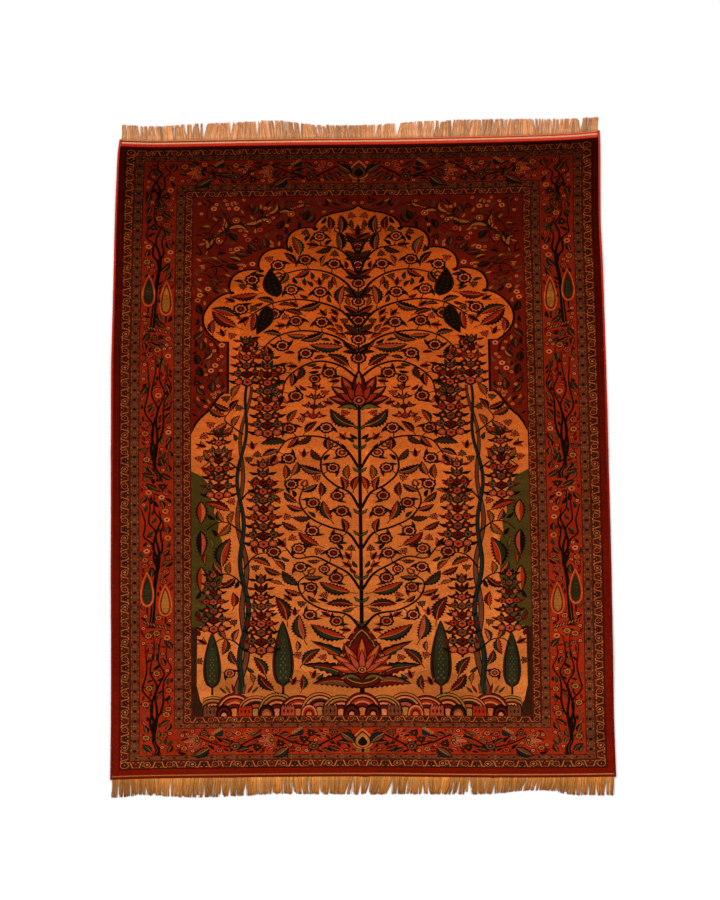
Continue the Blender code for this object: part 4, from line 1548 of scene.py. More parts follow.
def stepped(poly, step):
    """The same outline with points no further apart than step."""
    out = []
    for a, b in zip(poly, np.roll(poly, -1, axis=0)):
        n = max(1, int(math.ceil(float(np.hypot(*(b - a))) / step)))
        for k in range(n):
            out.append(a + (b - a) * (k / n))
    return np.array(out)


def loop_area(p):
    q = np.roll(p, -1, axis=0)
    return 0.5 * float((p[:, 0] * q[:, 1] - q[:, 0] * p[:, 1]).sum())


def partition(shapes, base, spare, cuts=()):
    """Cut the base polygon along all the shapes.  Gives the points (mm), the
    triangles and, for each, the number of the topmost shape over it."""
    loops = [base] + [p for p, _ in shapes]
    verts, faces, at = [], [], 0
    for p in loops:
        if loop_area(p) < 0:
            p = p[::-1]
        verts.append(p)
        faces.append(list(range(at, at + len(p))))
        at += len(p)
    edges = []
    for line in cuts:
        verts.append(line)
        edges += [(at + k, at + k + 1) for k in range(len(line) - 1)]
        at += len(line)
    verts = np.concatenate(verts + ([spare] if len(spare) else []))
    points = [Vector((float(a), float(b))) for a, b in verts]
    out, _, tris, _, _, owner = delaunay_2d_cdt(points, edges, faces, 0, 1e-4, True)
    keep, top = [], []
    for tri, ids in zip(tris, owner):
        if 0 in ids:
            keep.append(tri)
            top.append(max(ids) - 1)
    pts = np.array([(v.x, v.y) for v in out])
    keep, top = np.array(keep, dtype=np.int64), np.array(top)
    a, b, c = pts[keep[:, 0]], pts[keep[:, 1]], pts[keep[:, 2]]
    area = (b[:, 0] - a[:, 0]) * (c[:, 1] - a[:, 1]) - (c[:, 0] - a[:, 0]) * (b[:, 1] - a[:, 1])
    flip = area < 0
    keep[flip] = keep[flip][:, ::-1]
    used = np.unique(keep)
    remap = np.full(len(pts), -1)
    remap[used] = np.arange(len(used))
    return pts[used], remap[keep], top


def rim_edges(tris):
    """Directed edges that only one triangle has."""
    e = np.concatenate([tris[:, [0, 1]], tris[:, [1, 2]], tris[:, [2, 0]]])
    n = int(e.max()) + 1
    code, twin_code = e[:, 0] * n + e[:, 1], e[:, 1] * n + e[:, 0]
    return e[~np.isin(code, twin_code)]


def rim_loop(edges):
    after = {int(a): int(b) for a, b in edges}
    first = next(iter(after))
    loop, b = [first], after.pop(first)
    while b != first:
        loop.append(b)
        b = after.pop(b)
    return loop, len(after)


def bend_grid(lo, hi, fine, coarse):
    """Points in mm that let the sheet bend: close together on the creases."""
    def marks(a, b, at):
        vals = list(np.arange(a + coarse, b - coarse * 0.5, coarse))
        for c in at:
            vals += [c * 1000 + k * fine for k in range(-4, 5)]
        out = []
        for v in sorted(v for v in vals if a + 5 < v < b - 5):
            if not out or v - out[-1] > fine * 0.6:
                out.append(v)
        return np.array(out)

    xs = marks(lo[0], hi[0], [r[1] for r in CREASES if r[0] == "length"])
    ys = marks(lo[1], hi[1], [r[1] for r in CREASES if r[0] == "width"])
    g = np.stack(np.meshgrid(xs, ys), -1).reshape(-1, 2)
    return g + 0.37 * np.sin(g[:, ::-1] * 0.7)


def within(poly, p):
    """Even-odd test for loose points."""
    odd = np.zeros(len(p), bool)
    for (ax, ay), (bx, by) in zip(poly, np.roll(poly, -1, axis=0)):
        if ay == by:
            continue
        hit = (p[:, 1] > min(ay, by)) & (p[:, 1] <= max(ay, by))
        odd ^= hit & (p[:, 0] < ax + (p[:, 1] - ay) * (bx - ax) / (by - ay))
    return odd


def woven_mesh(name, shapes, base, runs, segments):
    """Closed slab of pile.  shapes are (outline in mm, dye index), base is its
    outline in mm; runs is 0 or 1, the axis it is long in, and segments how many
    lengths of it lie side by side on its map."""
    lo, hi = base.min(0), base.max(0)
    shapes = [s for s in shapes if (s[0].max(0) > lo).all() and (s[0].min(0) < hi).all()]
    rim_in = stepped(base, 12.0)
    spare = bend_grid(lo, hi, 14.0, 70.0)
    spare = spare[within(base, spare)]
    cuts = []
    step = (hi[runs] - lo[runs]) / segments
    for k in range(1, segments):
        at = lo[runs] + k * step
        line = np.array([(lo[0] - 5, at), (hi[0] + 5, at)]) if runs else np.array([(at, lo[1] - 5), (at, hi[1] + 5)])
        cuts.append(line)
    pts, tris, top = partition(shapes, rim_in, spare, cuts)
    dyes = np.array([s[1] for s in shapes])
    index = np.where(top >= 0, dyes[np.maximum(top, 0)], dyes[0])
    rim = rim_edges(tris)
    loop, left_over = rim_loop(rim)
    if left_over:
        print("rim of", name, "has", left_over, "more edges")
    large = [s for s in shapes if abs(loop_area(s[0])) > 7000.0]
    spare = bend_grid(lo, hi, 20.0, 90.0)
    bpts, btris, btop = partition(large, pts[loop], spare[within(base, spare)])
    bdyes = np.array([s[1] for s in large])
    bindex = np.where(btop >= 0, bdyes[np.maximum(btop, 0)], bdyes[0])
    n = len(pts)
    found = {(round(a, 2), round(b, 2)): i for i, (a, b) in enumerate(bpts.tolist())}
    brim = np.unique(rim_edges(btris))
    below = {}
    for i in loop:
        a, b = pts[i].tolist()
        j = found.get((round(a, 2), round(b, 2)))
        if j is None:
            j = int(brim[((bpts[brim] - pts[i]) ** 2).sum(1).argmin()])
        below[i] = j + n
    walls = []
    for a, b in rim.tolist():
        ta, tb = below[a], below[b]
        walls.append((b, a, ta))
        if ta != tb:
            walls.append((b, ta, tb))
    walls = np.array(walls)
    plan, bplan = warp(pts), warp(bpts)
    verts = np.concatenate([
        np.column_stack([plan - SHIFT, lift(plan[:, 0], plan[:, 1]) + PILE_THICK]),
        np.column_stack([bplan - SHIFT, lift(bplan[:, 0], bplan[:, 1])])])
    faces = np.concatenate([tris, btris[:, ::-1] + n, walls])
    edge_dye = DYE_NAMES.index("plain")
    face_dye = np.concatenate([index, bindex, np.full(len(walls), edge_dye)])
    kind = np.repeat([0, 1, 2], [len(tris), len(btris), len(walls)])
    mm_all = np.concatenate([pts, bpts])
    obj, mesh = raw_mesh(name, verts, faces)

    corner = faces.ravel()
    ckind = np.repeat(kind, 3)
    place = mm_all[corner]
    rgba = np.ones((len(corner), 4), np.float32)
    # dye colours with painted shade, darker towards the far end
    rgba[:, :3] = dyed_and_shaded(np.repeat(face_dye, 3), place[:, 1])
    rgba[ckind == 1, :3] = rgba[ckind == 1, :3] * 0.8 + 0.01
    paint(mesh, "dye", rgba)
    # painted highlight beside the creases, on the top faces only
    gap = painted_crease_highlight(*warp(mm_all).T)[corner]
    gap[ckind > 0] = 0.0
    layer = mesh.attributes.new("painted_crease_highlight", "FLOAT", "CORNER")
    layer.data.foreach_set("value", gap.astype(np.float32))

    middle = mm_all[faces].mean(1)
    seg = np.clip(((middle[:, runs] - lo[runs]) / step).astype(int), 0, segments - 1)
    cseg = np.repeat(seg, 3)
    long_part = (place[:, runs] - lo[runs] - cseg * step) / step
    wide_part = (place[:, 1 - runs] - lo[1 - runs]) / (hi[1 - runs] - lo[1 - runs])
    u = (cseg + 0.006 + 0.988 * wide_part) / segments
    v = 0.102 + 0.894 * long_part
    whole = (place - lo) / (hi - lo)
    u = np.where(ckind == 0, u, 0.002 + 0.996 * whole[:, runs])
    v = np.where(ckind == 0, v, np.where(ckind == 1, 0.016 + 0.078 * whole[:, 1 - runs], 0.004))
    side_v = np.where(corner < n, 0.009, 0.002)
    v = np.where(ckind == 2, side_v, v)
    uvs(mesh, u, v)

    normals = np.zeros((len(corner), 3), np.float32)
    up = lift_normal(plan[:, 0], plan[:, 1])
    down = -lift_normal(bplan[:, 0], bplan[:, 1])
    both = np.concatenate([up, down])
    normals[:] = both[corner]
    wall = verts[faces[kind == 2]]
    out = np.cross(wall[:, 1] - wall[:, 0], wall[:, 2] - wall[:, 0])
    out /= np.maximum(np.linalg.norm(out, axis=1)[:, None], 1e-12)
    normals[ckind == 2] = np.repeat(out, 3, axis=0)
    mesh.polygons.foreach_set("use_smooth", np.ones(len(faces), bool))
    mesh.normals_split_custom_set(normals.tolist())
    area = 0.5 * float(np.abs(np.cross(verts[tris[:, 1]] - verts[tris[:, 0]], verts[tris[:, 2]] - verts[tris[:, 0]])[:, 2]).sum())
    return obj, area


def raw_mesh(name, verts, faces):
    mesh = bpy.data.meshes.new(name)
    verts, faces = np.asarray(verts, np.float32), np.asarray(faces, np.int32)
    sides = faces.shape[1]
    mesh.vertices.add(len(verts))
    mesh.vertices.foreach_set("co", verts.ravel())
    mesh.loops.add(faces.size)
    mesh.loops.foreach_set("vertex_index", faces.ravel())
    mesh.polygons.add(len(faces))
    mesh.polygons.foreach_set("loop_start", np.arange(0, faces.size, sides, dtype=np.int32))
    mesh.update(calc_edges=True)
    obj = bpy.data.objects.new(name, mesh)
    bpy.context.scene.collection.objects.link(obj)
    return obj, mesh


def paint(mesh, name, rgba):
    layer = mesh.color_attributes.new(name, "FLOAT_COLOR", "CORNER")
    layer.data.foreach_set("color", np.asarray(rgba, np.float32).ravel())


def uvs(mesh, u, v):
    layer = mesh.uv_layers.new(name="OFBake")
    layer.data.foreach_set("uv", np.stack([u, v], 1).astype(np.float32).ravel())


def tubes(name, rings, colours, cells=0, folds=0):
    """One mesh of many closed tubes.  rings is (tube, ring, side, 3), colours
    (tube, ring, 3) linear.  Each tube has its own cell on the map, or a long
    one is folded on it."""
    rings = np.asarray(rings, float)
    m, r, s, _ = rings.shape
    verts = rings.reshape(-1, 3)
    i, j, k = np.meshgrid(np.arange(m), np.arange(r - 1), np.arange(s), indexing="ij")
    k2 = (k + 1) % s
    base = i * r * s
    a, b = base + j * s + k, base + j * s + k2
    c, d = base + (j + 1) * s + k2, base + (j + 1) * s + k
    quads = np.stack([a, b, c, d], -1).reshape(-1, 4)
    obj, mesh = raw_mesh(name, verts, quads)
    ring_no = (quads // s) % r
    tube_no = quads // (r * s)
    rgba = np.ones((quads.size, 4), np.float32)
    rgba[:, :3] = np.asarray(colours)[tube_no.ravel(), ring_no.ravel()]
    paint(mesh, "dye", rgba)
    side_no = np.stack([k, k + 1, k + 1, k], -1).reshape(-1, 4)
    if cells:
        tx, ty = tube_no % cells, tube_no // cells
        rows = int(math.ceil(m / cells))
        u = (tx + 0.12 + 0.76 * side_no / s) / cells
        v = (ty + 0.08 + 0.84 * ring_no / (r - 1)) / rows
    else:
        per = int(math.ceil((r - 1) / folds))
        fold = (j.reshape(-1) // per)[:, None]
        u = (fold + 0.06 + 0.88 * side_no / s) / folds
        v = 0.004 + 0.992 * (ring_no - fold * per) / per
    uvs(mesh, u.ravel(), v.ravel())
    # close the ends
    caps = bmesh.new()
    caps.from_mesh(mesh)
    caps.verts.ensure_lookup_table()
    uv_layer = caps.loops.layers.uv["OFBake"]
    tone = caps.loops.layers.float_color["dye"]
    for t in range(m):
        for ring, back in ((0, True), (r - 1, False)):
            ids = [t * r * s + ring * s + q for q in range(s)]
            if back:
                ids.reverse()
            face = caps.faces.new([caps.verts[q] for q in ids])
            for loop in face.loops:
                other = next(l for l in loop.vert.link_loops if l.face is not face)
                loop[uv_layer].uv = other[uv_layer].uv
                loop[tone] = other[tone]
    caps.to_mesh(mesh)
    caps.free()
    mesh.polygons.foreach_set("use_smooth", np.ones(len(mesh.polygons), bool))
    mesh.update()
    return obj


def make_pile():
    """The knotted part: two halves of the field and the four border runs."""
    def mm(design):
        return [(p * (1.0, SQUASH), DYE_NAMES.index(d)) for p, d in design.shapes]

    border, field = mm(draw_border()), mm(draw_field())
    stamp("design drawn")
    x0, x1, y0, y1 = level("plain")
    a0, a1, b0, b1 = level("field")
    y0, y1, b0, b1 = y0 * SQUASH, y1 * SQUASH, b0 * SQUASH, b1 * SQUASH
    parts = (
        ("pile_field_left", field, [(a0, b0), (0, b0), (0, b1), (a0, b1)], 1, 2),
        ("pile_field_right", field, [(0, b0), (a1, b0), (a1, b1), (0, b1)], 1, 2),
        ("pile_border_left", border, [(x0, y0), (a0, b0), (a0, b1), (x0, y1)], 1, 3),
        ("pile_border_right", border, [(a1, b0), (x1, y0), (x1, y1), (a1, b1)], 1, 3),
        ("pile_border_near", border, [(x0, y0), (x1, y0), (a1, b0), (a0, b0)], 0, 3),
        ("pile_border_far", border, [(a0, b1), (a1, b1), (x1, y1), (x0, y1)], 0, 3),
    )
    made = []
    for name, shapes, base, runs, segments in parts:
        base = np.array(base, float)
        obj, area = woven_mesh(name, shapes, base, runs, segments)
        size = base.max(0) - base.min(0)
        made.append((obj, area, size / 1000.0))
        stamp(f"{name} {len(obj.data.polygons)} faces")
    return made


# ---------------------------------------------------------- the woven ends
END_STRIPES = {
    # mm from the outer edge up to which, sRGB at the left, sRGB at the right
    "far": (
        (5.0, (224, 166, 112), (222, 158, 112)),
        (13.5, (146, 20, 11), (204, 62, 42)),
        (21.0, (222, 168, 116), (226, 172, 124)),
        (33.0, (186, 38, 22), (206, 58, 34)),
        (38.0, (128, 20, 10), (146, 28, 14)),
    ),
    "near": (
        (2.6, (52, 5, 3), (60, 8, 4)),
        (13.5, (112, 18, 5), (112, 20, 8)),
        (19.0, (176, 104, 48), (196, 124, 62)),
        (21.0, (70, 6, 3), (84, 10, 4)),
    ),
}


def end_place(x, into, end):
    """Plan of a spot at the drawn x (mm) and so far in from the woven end."""
    y = -HALF_L + into if end == "near" else HALF_L - into
    return warp(np.stack([x, y * np.ones_like(x)], 1))


def make_weave(end):
    stripes = END_STRIPES[end]
    deep = stripes[-1][0] + 1.5
    w = HALF_W - EDGE_SIDE
    nx = 300
    xs = np.linspace(-w, w, nx + 1)
    cuts = [0.0]
    for upto, *_ in stripes:
        n = max(1, round((upto - cuts[-1]) / 4.0))
        cuts += list(np.linspace(cuts[-1], upto, n + 1)[1:])
    cuts.append(deep)
    cuts = np.array(cuts)
    rows = [np.column_stack([end_place(xs, c, end), np.full(nx + 1, c)]) for c in cuts]
    top = []
    rng = np.random.default_rng(5 if end == "far" else 6)
    for k, row in enumerate(rows):
        z = lift(row[:, 0], row[:, 1]) + WEAVE_THICK - (0.0008 if k == 0 else 0.0)
        z += rng.uniform(-0.00012, 0.00012, len(z))
        top.append(np.column_stack([row[:, :2] - SHIFT, z]))
    low = [np.column_stack([row[:, :2] - SHIFT, lift(row[:, 0], row[:, 1])]) for row in (rows[-1], rows[0])]
    rings = np.stack(top + low, 1)                # nx+1 stations round the strip
    if end == "far":
        rings = rings[:, ::-1]
    s = rings.shape[1]
    mid = 0.5 * (cuts[1:] + cuts[:-1])
    dist = np.concatenate([cuts, [deep, 0.0]])
    if end == "far":
        dist = dist[::-1]
    tone = rng.uniform(0.93, 1.07, nx + 1)
    obj = tubes(f"weave_{end}", rings[None], np.zeros((1, nx + 1, 3)), 0, 6)
    mesh = obj.data
    # the colour belongs to the stripe the face lies in
    count = len(mesh.loops)
    vid = np.empty(count, np.int32)
    mesh.loops.foreach_get("vertex_index", vid)
    start = np.empty(len(mesh.polygons), np.int32)
    total = np.empty(len(mesh.polygons), np.int32)
    mesh.polygons.foreach_get("loop_start", start)
    mesh.polygons.foreach_get("loop_total", total)
    face_of = np.repeat(np.arange(len(start)), total)
    d = dist[vid % s]
    mean = np.bincount(face_of, d) / total
    station = (vid // s).astype(float) / nx
    edges = np.array([q[0] for q in stripes])
    which = np.minimum(np.searchsorted(edges, mean), len(stripes) - 1)[face_of]
    left = np.array([linear(q[1]) for q in stripes])[which]
    right = np.array([linear(q[2]) for q in stripes])[which]
    rgba = np.ones((count, 4), np.float32)
    rgba[:, :3] = (left + (right - left) * station[:, None]) * tone[(vid // s)][:, None]
    mesh.color_attributes["dye"].data.foreach_set("color", rgba.ravel())
    return obj


def make_twining(end):
    """The raised cream line: two rows of slanting stitches."""
    rng = np.random.default_rng(15 if end == "far" else 16)
    centre, wide = (17.2, 6.2) if end == "far" else (16.2, 4.6)
    w = HALF_W - EDGE_SIDE - 2
    pitch = 4.2
    n = int(2 * w / pitch)
    rings, colours = [], []
    sides, steps = 6, 5
    for row, (off, slant) in enumerate(((-0.25 * wide, 0.62), (0.25 * wide, -0.62))):
        x = -w + pitch * (np.arange(n) + 0.5 + 0.25 * row)
        at = end_place(x, centre + off, end)
        beyond = end_place(x + 1.0, centre + off, end)
        head = np.arctan2(*(beyond - at).T[::-1])
        z = lift(at[:, 0], at[:, 1]) + WEAVE_THICK
        long_half, wide_half, tall = 0.0029, 0.00029 * wide, 0.0011
        ang = head + slant
        ux = np.stack([np.cos(ang), np.sin(ang)], 1)
        vx = np.stack([-np.sin(ang), np.cos(ang)], 1)
        u = np.linspace(-1, 1, steps)
        swell = np.sqrt(np.clip(1 - (u * 0.93) ** 2, 0, 1))
        a = np.arange(sides) * 2 * math.pi / sides
        grid = np.zeros((n, steps, sides, 3))
        grid[..., 0] = at[:, 0, None, None] - SHIFT[0] + ux[:, 0, None, None] * long_half * u[None, :, None] + vx[:, 0, None, None] * wide_half * (swell[:, None] * np.cos(a)[None, :])[None]
        grid[..., 1] = at[:, 1, None, None] - SHIFT[1] + ux[:, 1, None, None] * long_half * u[None, :, None] + vx[:, 1, None, None] * wide_half * (swell[:, None] * np.cos(a)[None, :])[None]
        grid[..., 2] = z[:, None, None] + tall * (swell[:, None] * np.sin(a)[None, :])[None]
        share = (np.arange(n) + 0.5) / n
        if end == "far":
            tone = linear((224, 170, 120))[None] + (linear((228, 176, 132)) - linear((224, 170, 120)))[None] * share[:, None]
        else:
            tone = linear((186, 116, 54))[None] + (linear((206, 136, 72)) - linear((186, 116, 54)))[None] * share[:, None]
        tone = tone * rng.uniform(0.82, 1.12, (n, 1))
        rings.append(grid)
        colours.append(np.repeat(tone[:, None, :], steps, 1))
    rings, colours = np.concatenate(rings), np.concatenate(colours)
    return tubes(f"twining_{end}", rings, colours, int(math.ceil(math.sqrt(len(rings)))))


# ---------------------------------------------------------- the side cords
def make_side_cord(side):
    """Overcast selvedge: thread wound round a core, turn by turn."""
    rng = np.random.default_rng(25 if side == "left" else 26)
    turns = 1010
    rings_n = 2 * turns + 1
    t = np.linspace(0.0006, 0.9994, rings_n)
    y0 = -0.5 * LENGTH + LENGTH * t
    edge = table(SIDES, 1 if side == "left" else 2, y0)
    x = edge + (0.006 if side == "left" else -0.006)
    near, far = table(ENDS, 1, x), table(ENDS, 2, x)
    y = near + (far - near) * t
    z = lift(x, y)
    crest = (np.arange(rings_n) % 2).astype(float)
    fat = 1.0 + 0.03 * np.sin(y * 9.0) + 0.02 * np.sin(y * 31.0 + 1)
    r = np.where(crest > 0, 1.0, 0.86) * fat
    jitter = np.repeat(rng.uniform(0.96, 1.03, turns + 1), 2)[:rings_n]
    sides = 10
    a = np.arange(sides) * 2 * math.pi / sides + math.pi / sides
    ca, sa = np.cos(a), np.sin(a)
    rings = np.zeros((rings_n, sides, 3))
    half_w, half_h = 0.0060, 0.0045
    rings[..., 0] = x[:, None] + (half_w * r * jitter)[:, None] * ca[None] * 0.985
    rings[..., 1] = y[:, None] + 0.0011 * ca[None]
    rings[..., 2] = np.maximum(z[:, None] + half_h + (half_h * r)[:, None] * sa[None] * np.where(sa > 0, 1.0, 0.96)[None], z[:, None] + 0.0001)
    rings[..., 0] -= SHIFT[0]
    rings[..., 1] -= SHIFT[1]
    stops = np.array([-1.55, -0.9, -0.2, 0.5, 1.1, 1.55])
    left = np.array([linear(c) for c in ((138, 28, 10), (134, 26, 10), (160, 40, 18), (190, 50, 22), (198, 54, 26), (200, 60, 34))])
    right = np.array([linear(c) for c in ((122, 18, 6), (120, 20, 6), (150, 30, 12), (182, 44, 20), (196, 56, 30), (206, 64, 42))])
    tab = left if side == "left" else right
    col = np.stack([np.interp(y, stops, tab[:, k]) for k in range(3)], 1)
    shade = np.repeat(rng.uniform(0.82, 1.12, turns + 1), 2)[:rings_n] * np.where(crest > 0, 1.0, 0.72)
    col = col * shade[:, None]
    return tubes(f"cord_{side}", rings[None], col[None], 0, 12)


# -------------------------------------------------------------- the fringes
def make_fringe(end):
    """Fine warp ends in uneven locks, some grown together, some apart."""
    rng = np.random.default_rng(35 if end == "far" else 36)
    sign = -1.0 if end == "near" else 1.0
    w = HALF_W - EDGE_SIDE + 2.0
    column = 1 if end == "near" else 2
    locks, x = [], -w
    while x < w:
        wide = rng.uniform(7.0, 16.0) if rng.random() < 0.75 else rng.uniform(3.0, 7.0)
        wide = min(wide, w - x)
        locks.append((x, wide))
        x += wide
        if x >= w:
            break
    count = len(locks)
    sway = np.cumsum(rng.normal(0, 0.035, count))
    sway -= np.linspace(sway[0], sway[-1], count)
    sway = sway * 0.6 + rng.normal(0, 0.045, count)
    middle = np.array([x0 + 0.5 * wide for x0, wide in locks])
    draw_in, tint = np.zeros(count), np.ones(count)
    first = 0
    while first < count:
        last = min(count, first + int(rng.integers(4, 13)))
        right_half = middle[first] > -100.0
        pull = rng.uniform(0.0, 0.10) if rng.random() < 0.55 else rng.uniform(0.10, 0.24) * (1.0 if right_half or end == "far" else 0.7)
        hub = middle[first:last].mean() + rng.uniform(-12, 12)
        draw_in[first:last] = -(middle[first:last] - hub) * 0.001 * pull
        tint[first:last] = rng.uniform(0.90, 1.08)
        first = last
    lean_bias = 0.0 if end == "near" else 0.05
    lock_bow = rng.uniform(0.0008, 0.0034, count)
    lock_turn = rng.uniform(3.0, 6.5, count)
    lock_phase = np.cumsum(rng.normal(0, 0.7, count))
    sides, steps = 3, 6
    u = np.linspace(0, 1, steps)
    paths, radii, tones = [], [], []
    for k, (x0, wide) in enumerate(locks):
        n = max(2, int(round(wide / (0.80 if end == "near" else 0.86))))
        open_one = rng.random() < (0.16 if end == "near" else 0.22)
        squeeze = rng.uniform(0.22, 0.42) if open_one else rng.uniform(-0.06, 0.06)
        lean = sway[k] + lean_bias * math.sin(x0 / 160.0)
        reach = rng.uniform(0.97, 1.02) if rng.random() < 0.88 else rng.uniform(0.86, 0.95)
        dark = rng.uniform(0.80, 1.14) * tint[k]
        for q in range(n):
            part = (q + 0.5 + rng.uniform(-0.35, 0.35)) / n
            xr = x0 + wide * part
            off = wide * (part - 0.5)
            root = end_place(np.array([xr]), rng.uniform(0.4, 2.4), end)[0]
            length = float(table(FRINGES, column, root[0])) * reach * rng.uniform(0.965, 1.01)
            if rng.random() < 0.03:
                length *= rng.uniform(0.6, 0.9)
            stray = rng.normal(0, 0.018) + (rng.normal(0, 0.10) if rng.random() < 0.05 else 0.0)
            px = root[0] + draw_in[k] * u ** 1.3 + (lean + stray) * length * u ** 1.15 - 0.001 * off * squeeze * u ** 0.8 * 2.0
            px = px + 0.0009 * np.sin(u * rng.uniform(3, 9) + rng.uniform(0, 6)) * u
            px = px + lock_bow[k] * np.sin(u * lock_turn[k] + lock_phase[k]) * u ** 0.8
            py = root[1] + sign * length * u
            layer = rng.random()
            zf = 0.0030 * (1 - u) + 0.0008 + 0.0019 * layer * (0.4 + 0.6 * u)
            zf = zf + 0.0004 * np.sin(u * 7 + rng.uniform(0, 6))
            zc = np.minimum(lift(np.full(steps, root[0]), np.full(steps, root[1])) * (1 - u) + zf, 0.0049)
            paths.append(np.stack([px - SHIFT[0], py - SHIFT[1], np.maximum(zc, 0.0008)], 1))
            rad = rng.uniform(0.00090, 0.00130) * (1 - 0.10 * u) * np.where(u > 0.99, 0.7, 1.0)
            radii.append(rad)
            share = (root[0] + 1.18) / 2.36
            if end == "far":
                base = linear((241, 178, 122)) * (1 - share) + linear((240, 172, 122)) * share
                tip = linear((234, 164, 108))
                mix = u[:, None] ** 0.7
            else:
                a, b, c = linear((198, 130, 58)), linear((224, 150, 74)), linear((216, 142, 66))
                base = a + (b - a) * min(1.0, share / 0.28) if share < 0.28 else b + (c - b) * (share - 0.28) / 0.72
                tip = base * (0.70, 0.62, 0.50)
                mix = u[:, None] ** 1.1
            # random tone per strand: partly the yarn's own uneven colour, partly painted highlight on the brightest
            # strands and painted shade on the darkest, for glints and gaps between them
            col = (base[None] * (1 - mix) + tip[None] * mix) * dark * (rng.uniform(0.52, 1.10) if rng.random() < 0.66 else rng.uniform(1.10, 1.60))
            tones.append(col)
    paths, radii, tones = np.array(paths), np.array(radii), np.array(tones)
    m = len(paths)
    g = np.gradient(paths, axis=1)
    g /= np.linalg.norm(g, axis=2)[..., None]
    across = np.stack([-g[..., 1], g[..., 0], np.zeros_like(g[..., 0])], -1)
    across /= np.linalg.norm(across, axis=2)[..., None]
    upward = np.cross(g, across)
    a = np.arange(sides) * 2 * math.pi / sides + math.pi / 2
    ring = (paths[:, :, None, :] + radii[:, :, None, None] * (np.cos(a)[None, None, :, None] * across[:, :, None, :] + np.sin(a)[None, None, :, None] * upward[:, :, None, :]))
    obj = tubes(f"strands_{end}", ring, tones, int(math.ceil(math.sqrt(m))))
    stamp(f"strands_{end}: {m} strands")
    return obj


# ---------------------------------------------------------------- materials
class Nodes:
    """Short names for building a node tree."""

    def __init__(self, name):
        self.mat = bpy.data.materials.new(name)
        self.mat.use_nodes = True
        self.tree = self.mat.node_tree
        self.bsdf = self.tree.nodes["Principled BSDF"]

    def add(self, kind, **values):
        node = self.tree.nodes.new(kind)
        for key, value in values.items():
            setattr(node, key, value)
        return node

    def link(self, a, b):
        self.tree.links.new(a, b)

    def math(self, op, a, b=None, c=None, clamp=False):
        node = self.add("ShaderNodeMath", operation=op, use_clamp=clamp)
        for k, v in enumerate((a, b, c)):
            if v is None:
                continue
            if isinstance(v, (int, float)):
                node.inputs[k].default_value = v
            else:
                self.link(v, node.inputs[k])
        return node.outputs[0]

    def place(self, scale):
        where = self.add("ShaderNodeTexCoord").outputs["Object"]
        m = self.add("ShaderNodeMapping")
        m.inputs["Scale"].default_value = scale
        self.link(where, m.inputs["Vector"])
        return m.outputs["Vector"]

    def noise(self, vector, scale, detail=2.0, rough=0.5):
        n = self.add("ShaderNodeTexNoise")
        n.inputs["Scale"].default_value = scale
        n.inputs["Detail"].default_value = detail
        n.inputs["Roughness"].default_value = rough
        self.link(vector, n.inputs["Vector"])
        return n.outputs["Fac"]

    def spread(self, value, low, high):
        node = self.add("ShaderNodeMapRange")
        node.inputs["From Min"].default_value = 0.28
        node.inputs["From Max"].default_value = 0.72
        node.inputs["To Min"].default_value = low
        node.inputs["To Max"].default_value = high
        self.link(value, node.inputs["Value"])
        return node.outputs["Result"]

    def cells(self, size):
        """One random number for each knot."""
        v = self.place((1 / size[0], 1 / size[1], 0.0))
        f = self.add("ShaderNodeVectorMath", operation="FLOOR")
        self.link(v, f.inputs[0])
        w = self.add("ShaderNodeTexWhiteNoise", noise_dimensions="3D")
        self.link(f.outputs[0], w.inputs["Vector"])
        return w.outputs["Value"]

    def scaled(self, colour, factor):
        v = self.add("ShaderNodeVectorMath", operation="SCALE")
        self.link(colour, v.inputs[0])
        if isinstance(factor, (int, float)):
            v.inputs["Scale"].default_value = factor
        else:
            self.link(factor, v.inputs["Scale"])
        return v.outputs[0]

    def mix(self, factor, a, b):
        m = self.add("ShaderNodeMix", data_type="RGBA")
        for k, v in (("Factor", factor), ("A", a), ("B", b)):
            socket = next(s for s in m.inputs if s.name == k and (s.type == "RGBA" if k != "Factor" else s.type == "VALUE"))
            if isinstance(v, tuple):
                socket.default_value = (*v, 1.0) if len(v) == 3 else v
            elif isinstance(v, (int, float)):
                socket.default_value = v
            else:
                self.link(v, socket)
        return next(s for s in m.outputs if s.type == "RGBA")

    def finish(self, colour, rough, height, strength, distance, sheen=0.0, sheen_tint=(1, 1, 1), sheen_rough=0.4, specular=0.0):
        b = self.bsdf
        self.link(colour, b.inputs["Base Color"])
        if isinstance(rough, (int, float)):
            b.inputs["Roughness"].default_value = rough
        else:
            self.link(rough, b.inputs["Roughness"])
        bump = self.add("ShaderNodeBump")
        bump.inputs["Strength"].default_value = strength
        bump.inputs["Distance"].default_value = distance
        self.link(height, bump.inputs["Height"])
        self.link(bump.outputs["Normal"], b.inputs["Normal"])
        b.inputs["Sheen Weight"].default_value = sheen
        b.inputs["Sheen Tint"].default_value = (*sheen_tint, 1.0)
        b.inputs["Sheen Roughness"].default_value = sheen_rough
        b.inputs["Specular IOR Level"].default_value = specular
        return self.mat


def dye_colour(n):
    a = n.add("ShaderNodeAttribute", attribute_name="dye", attribute_type="GEOMETRY")
    return a.outputs["Color"]


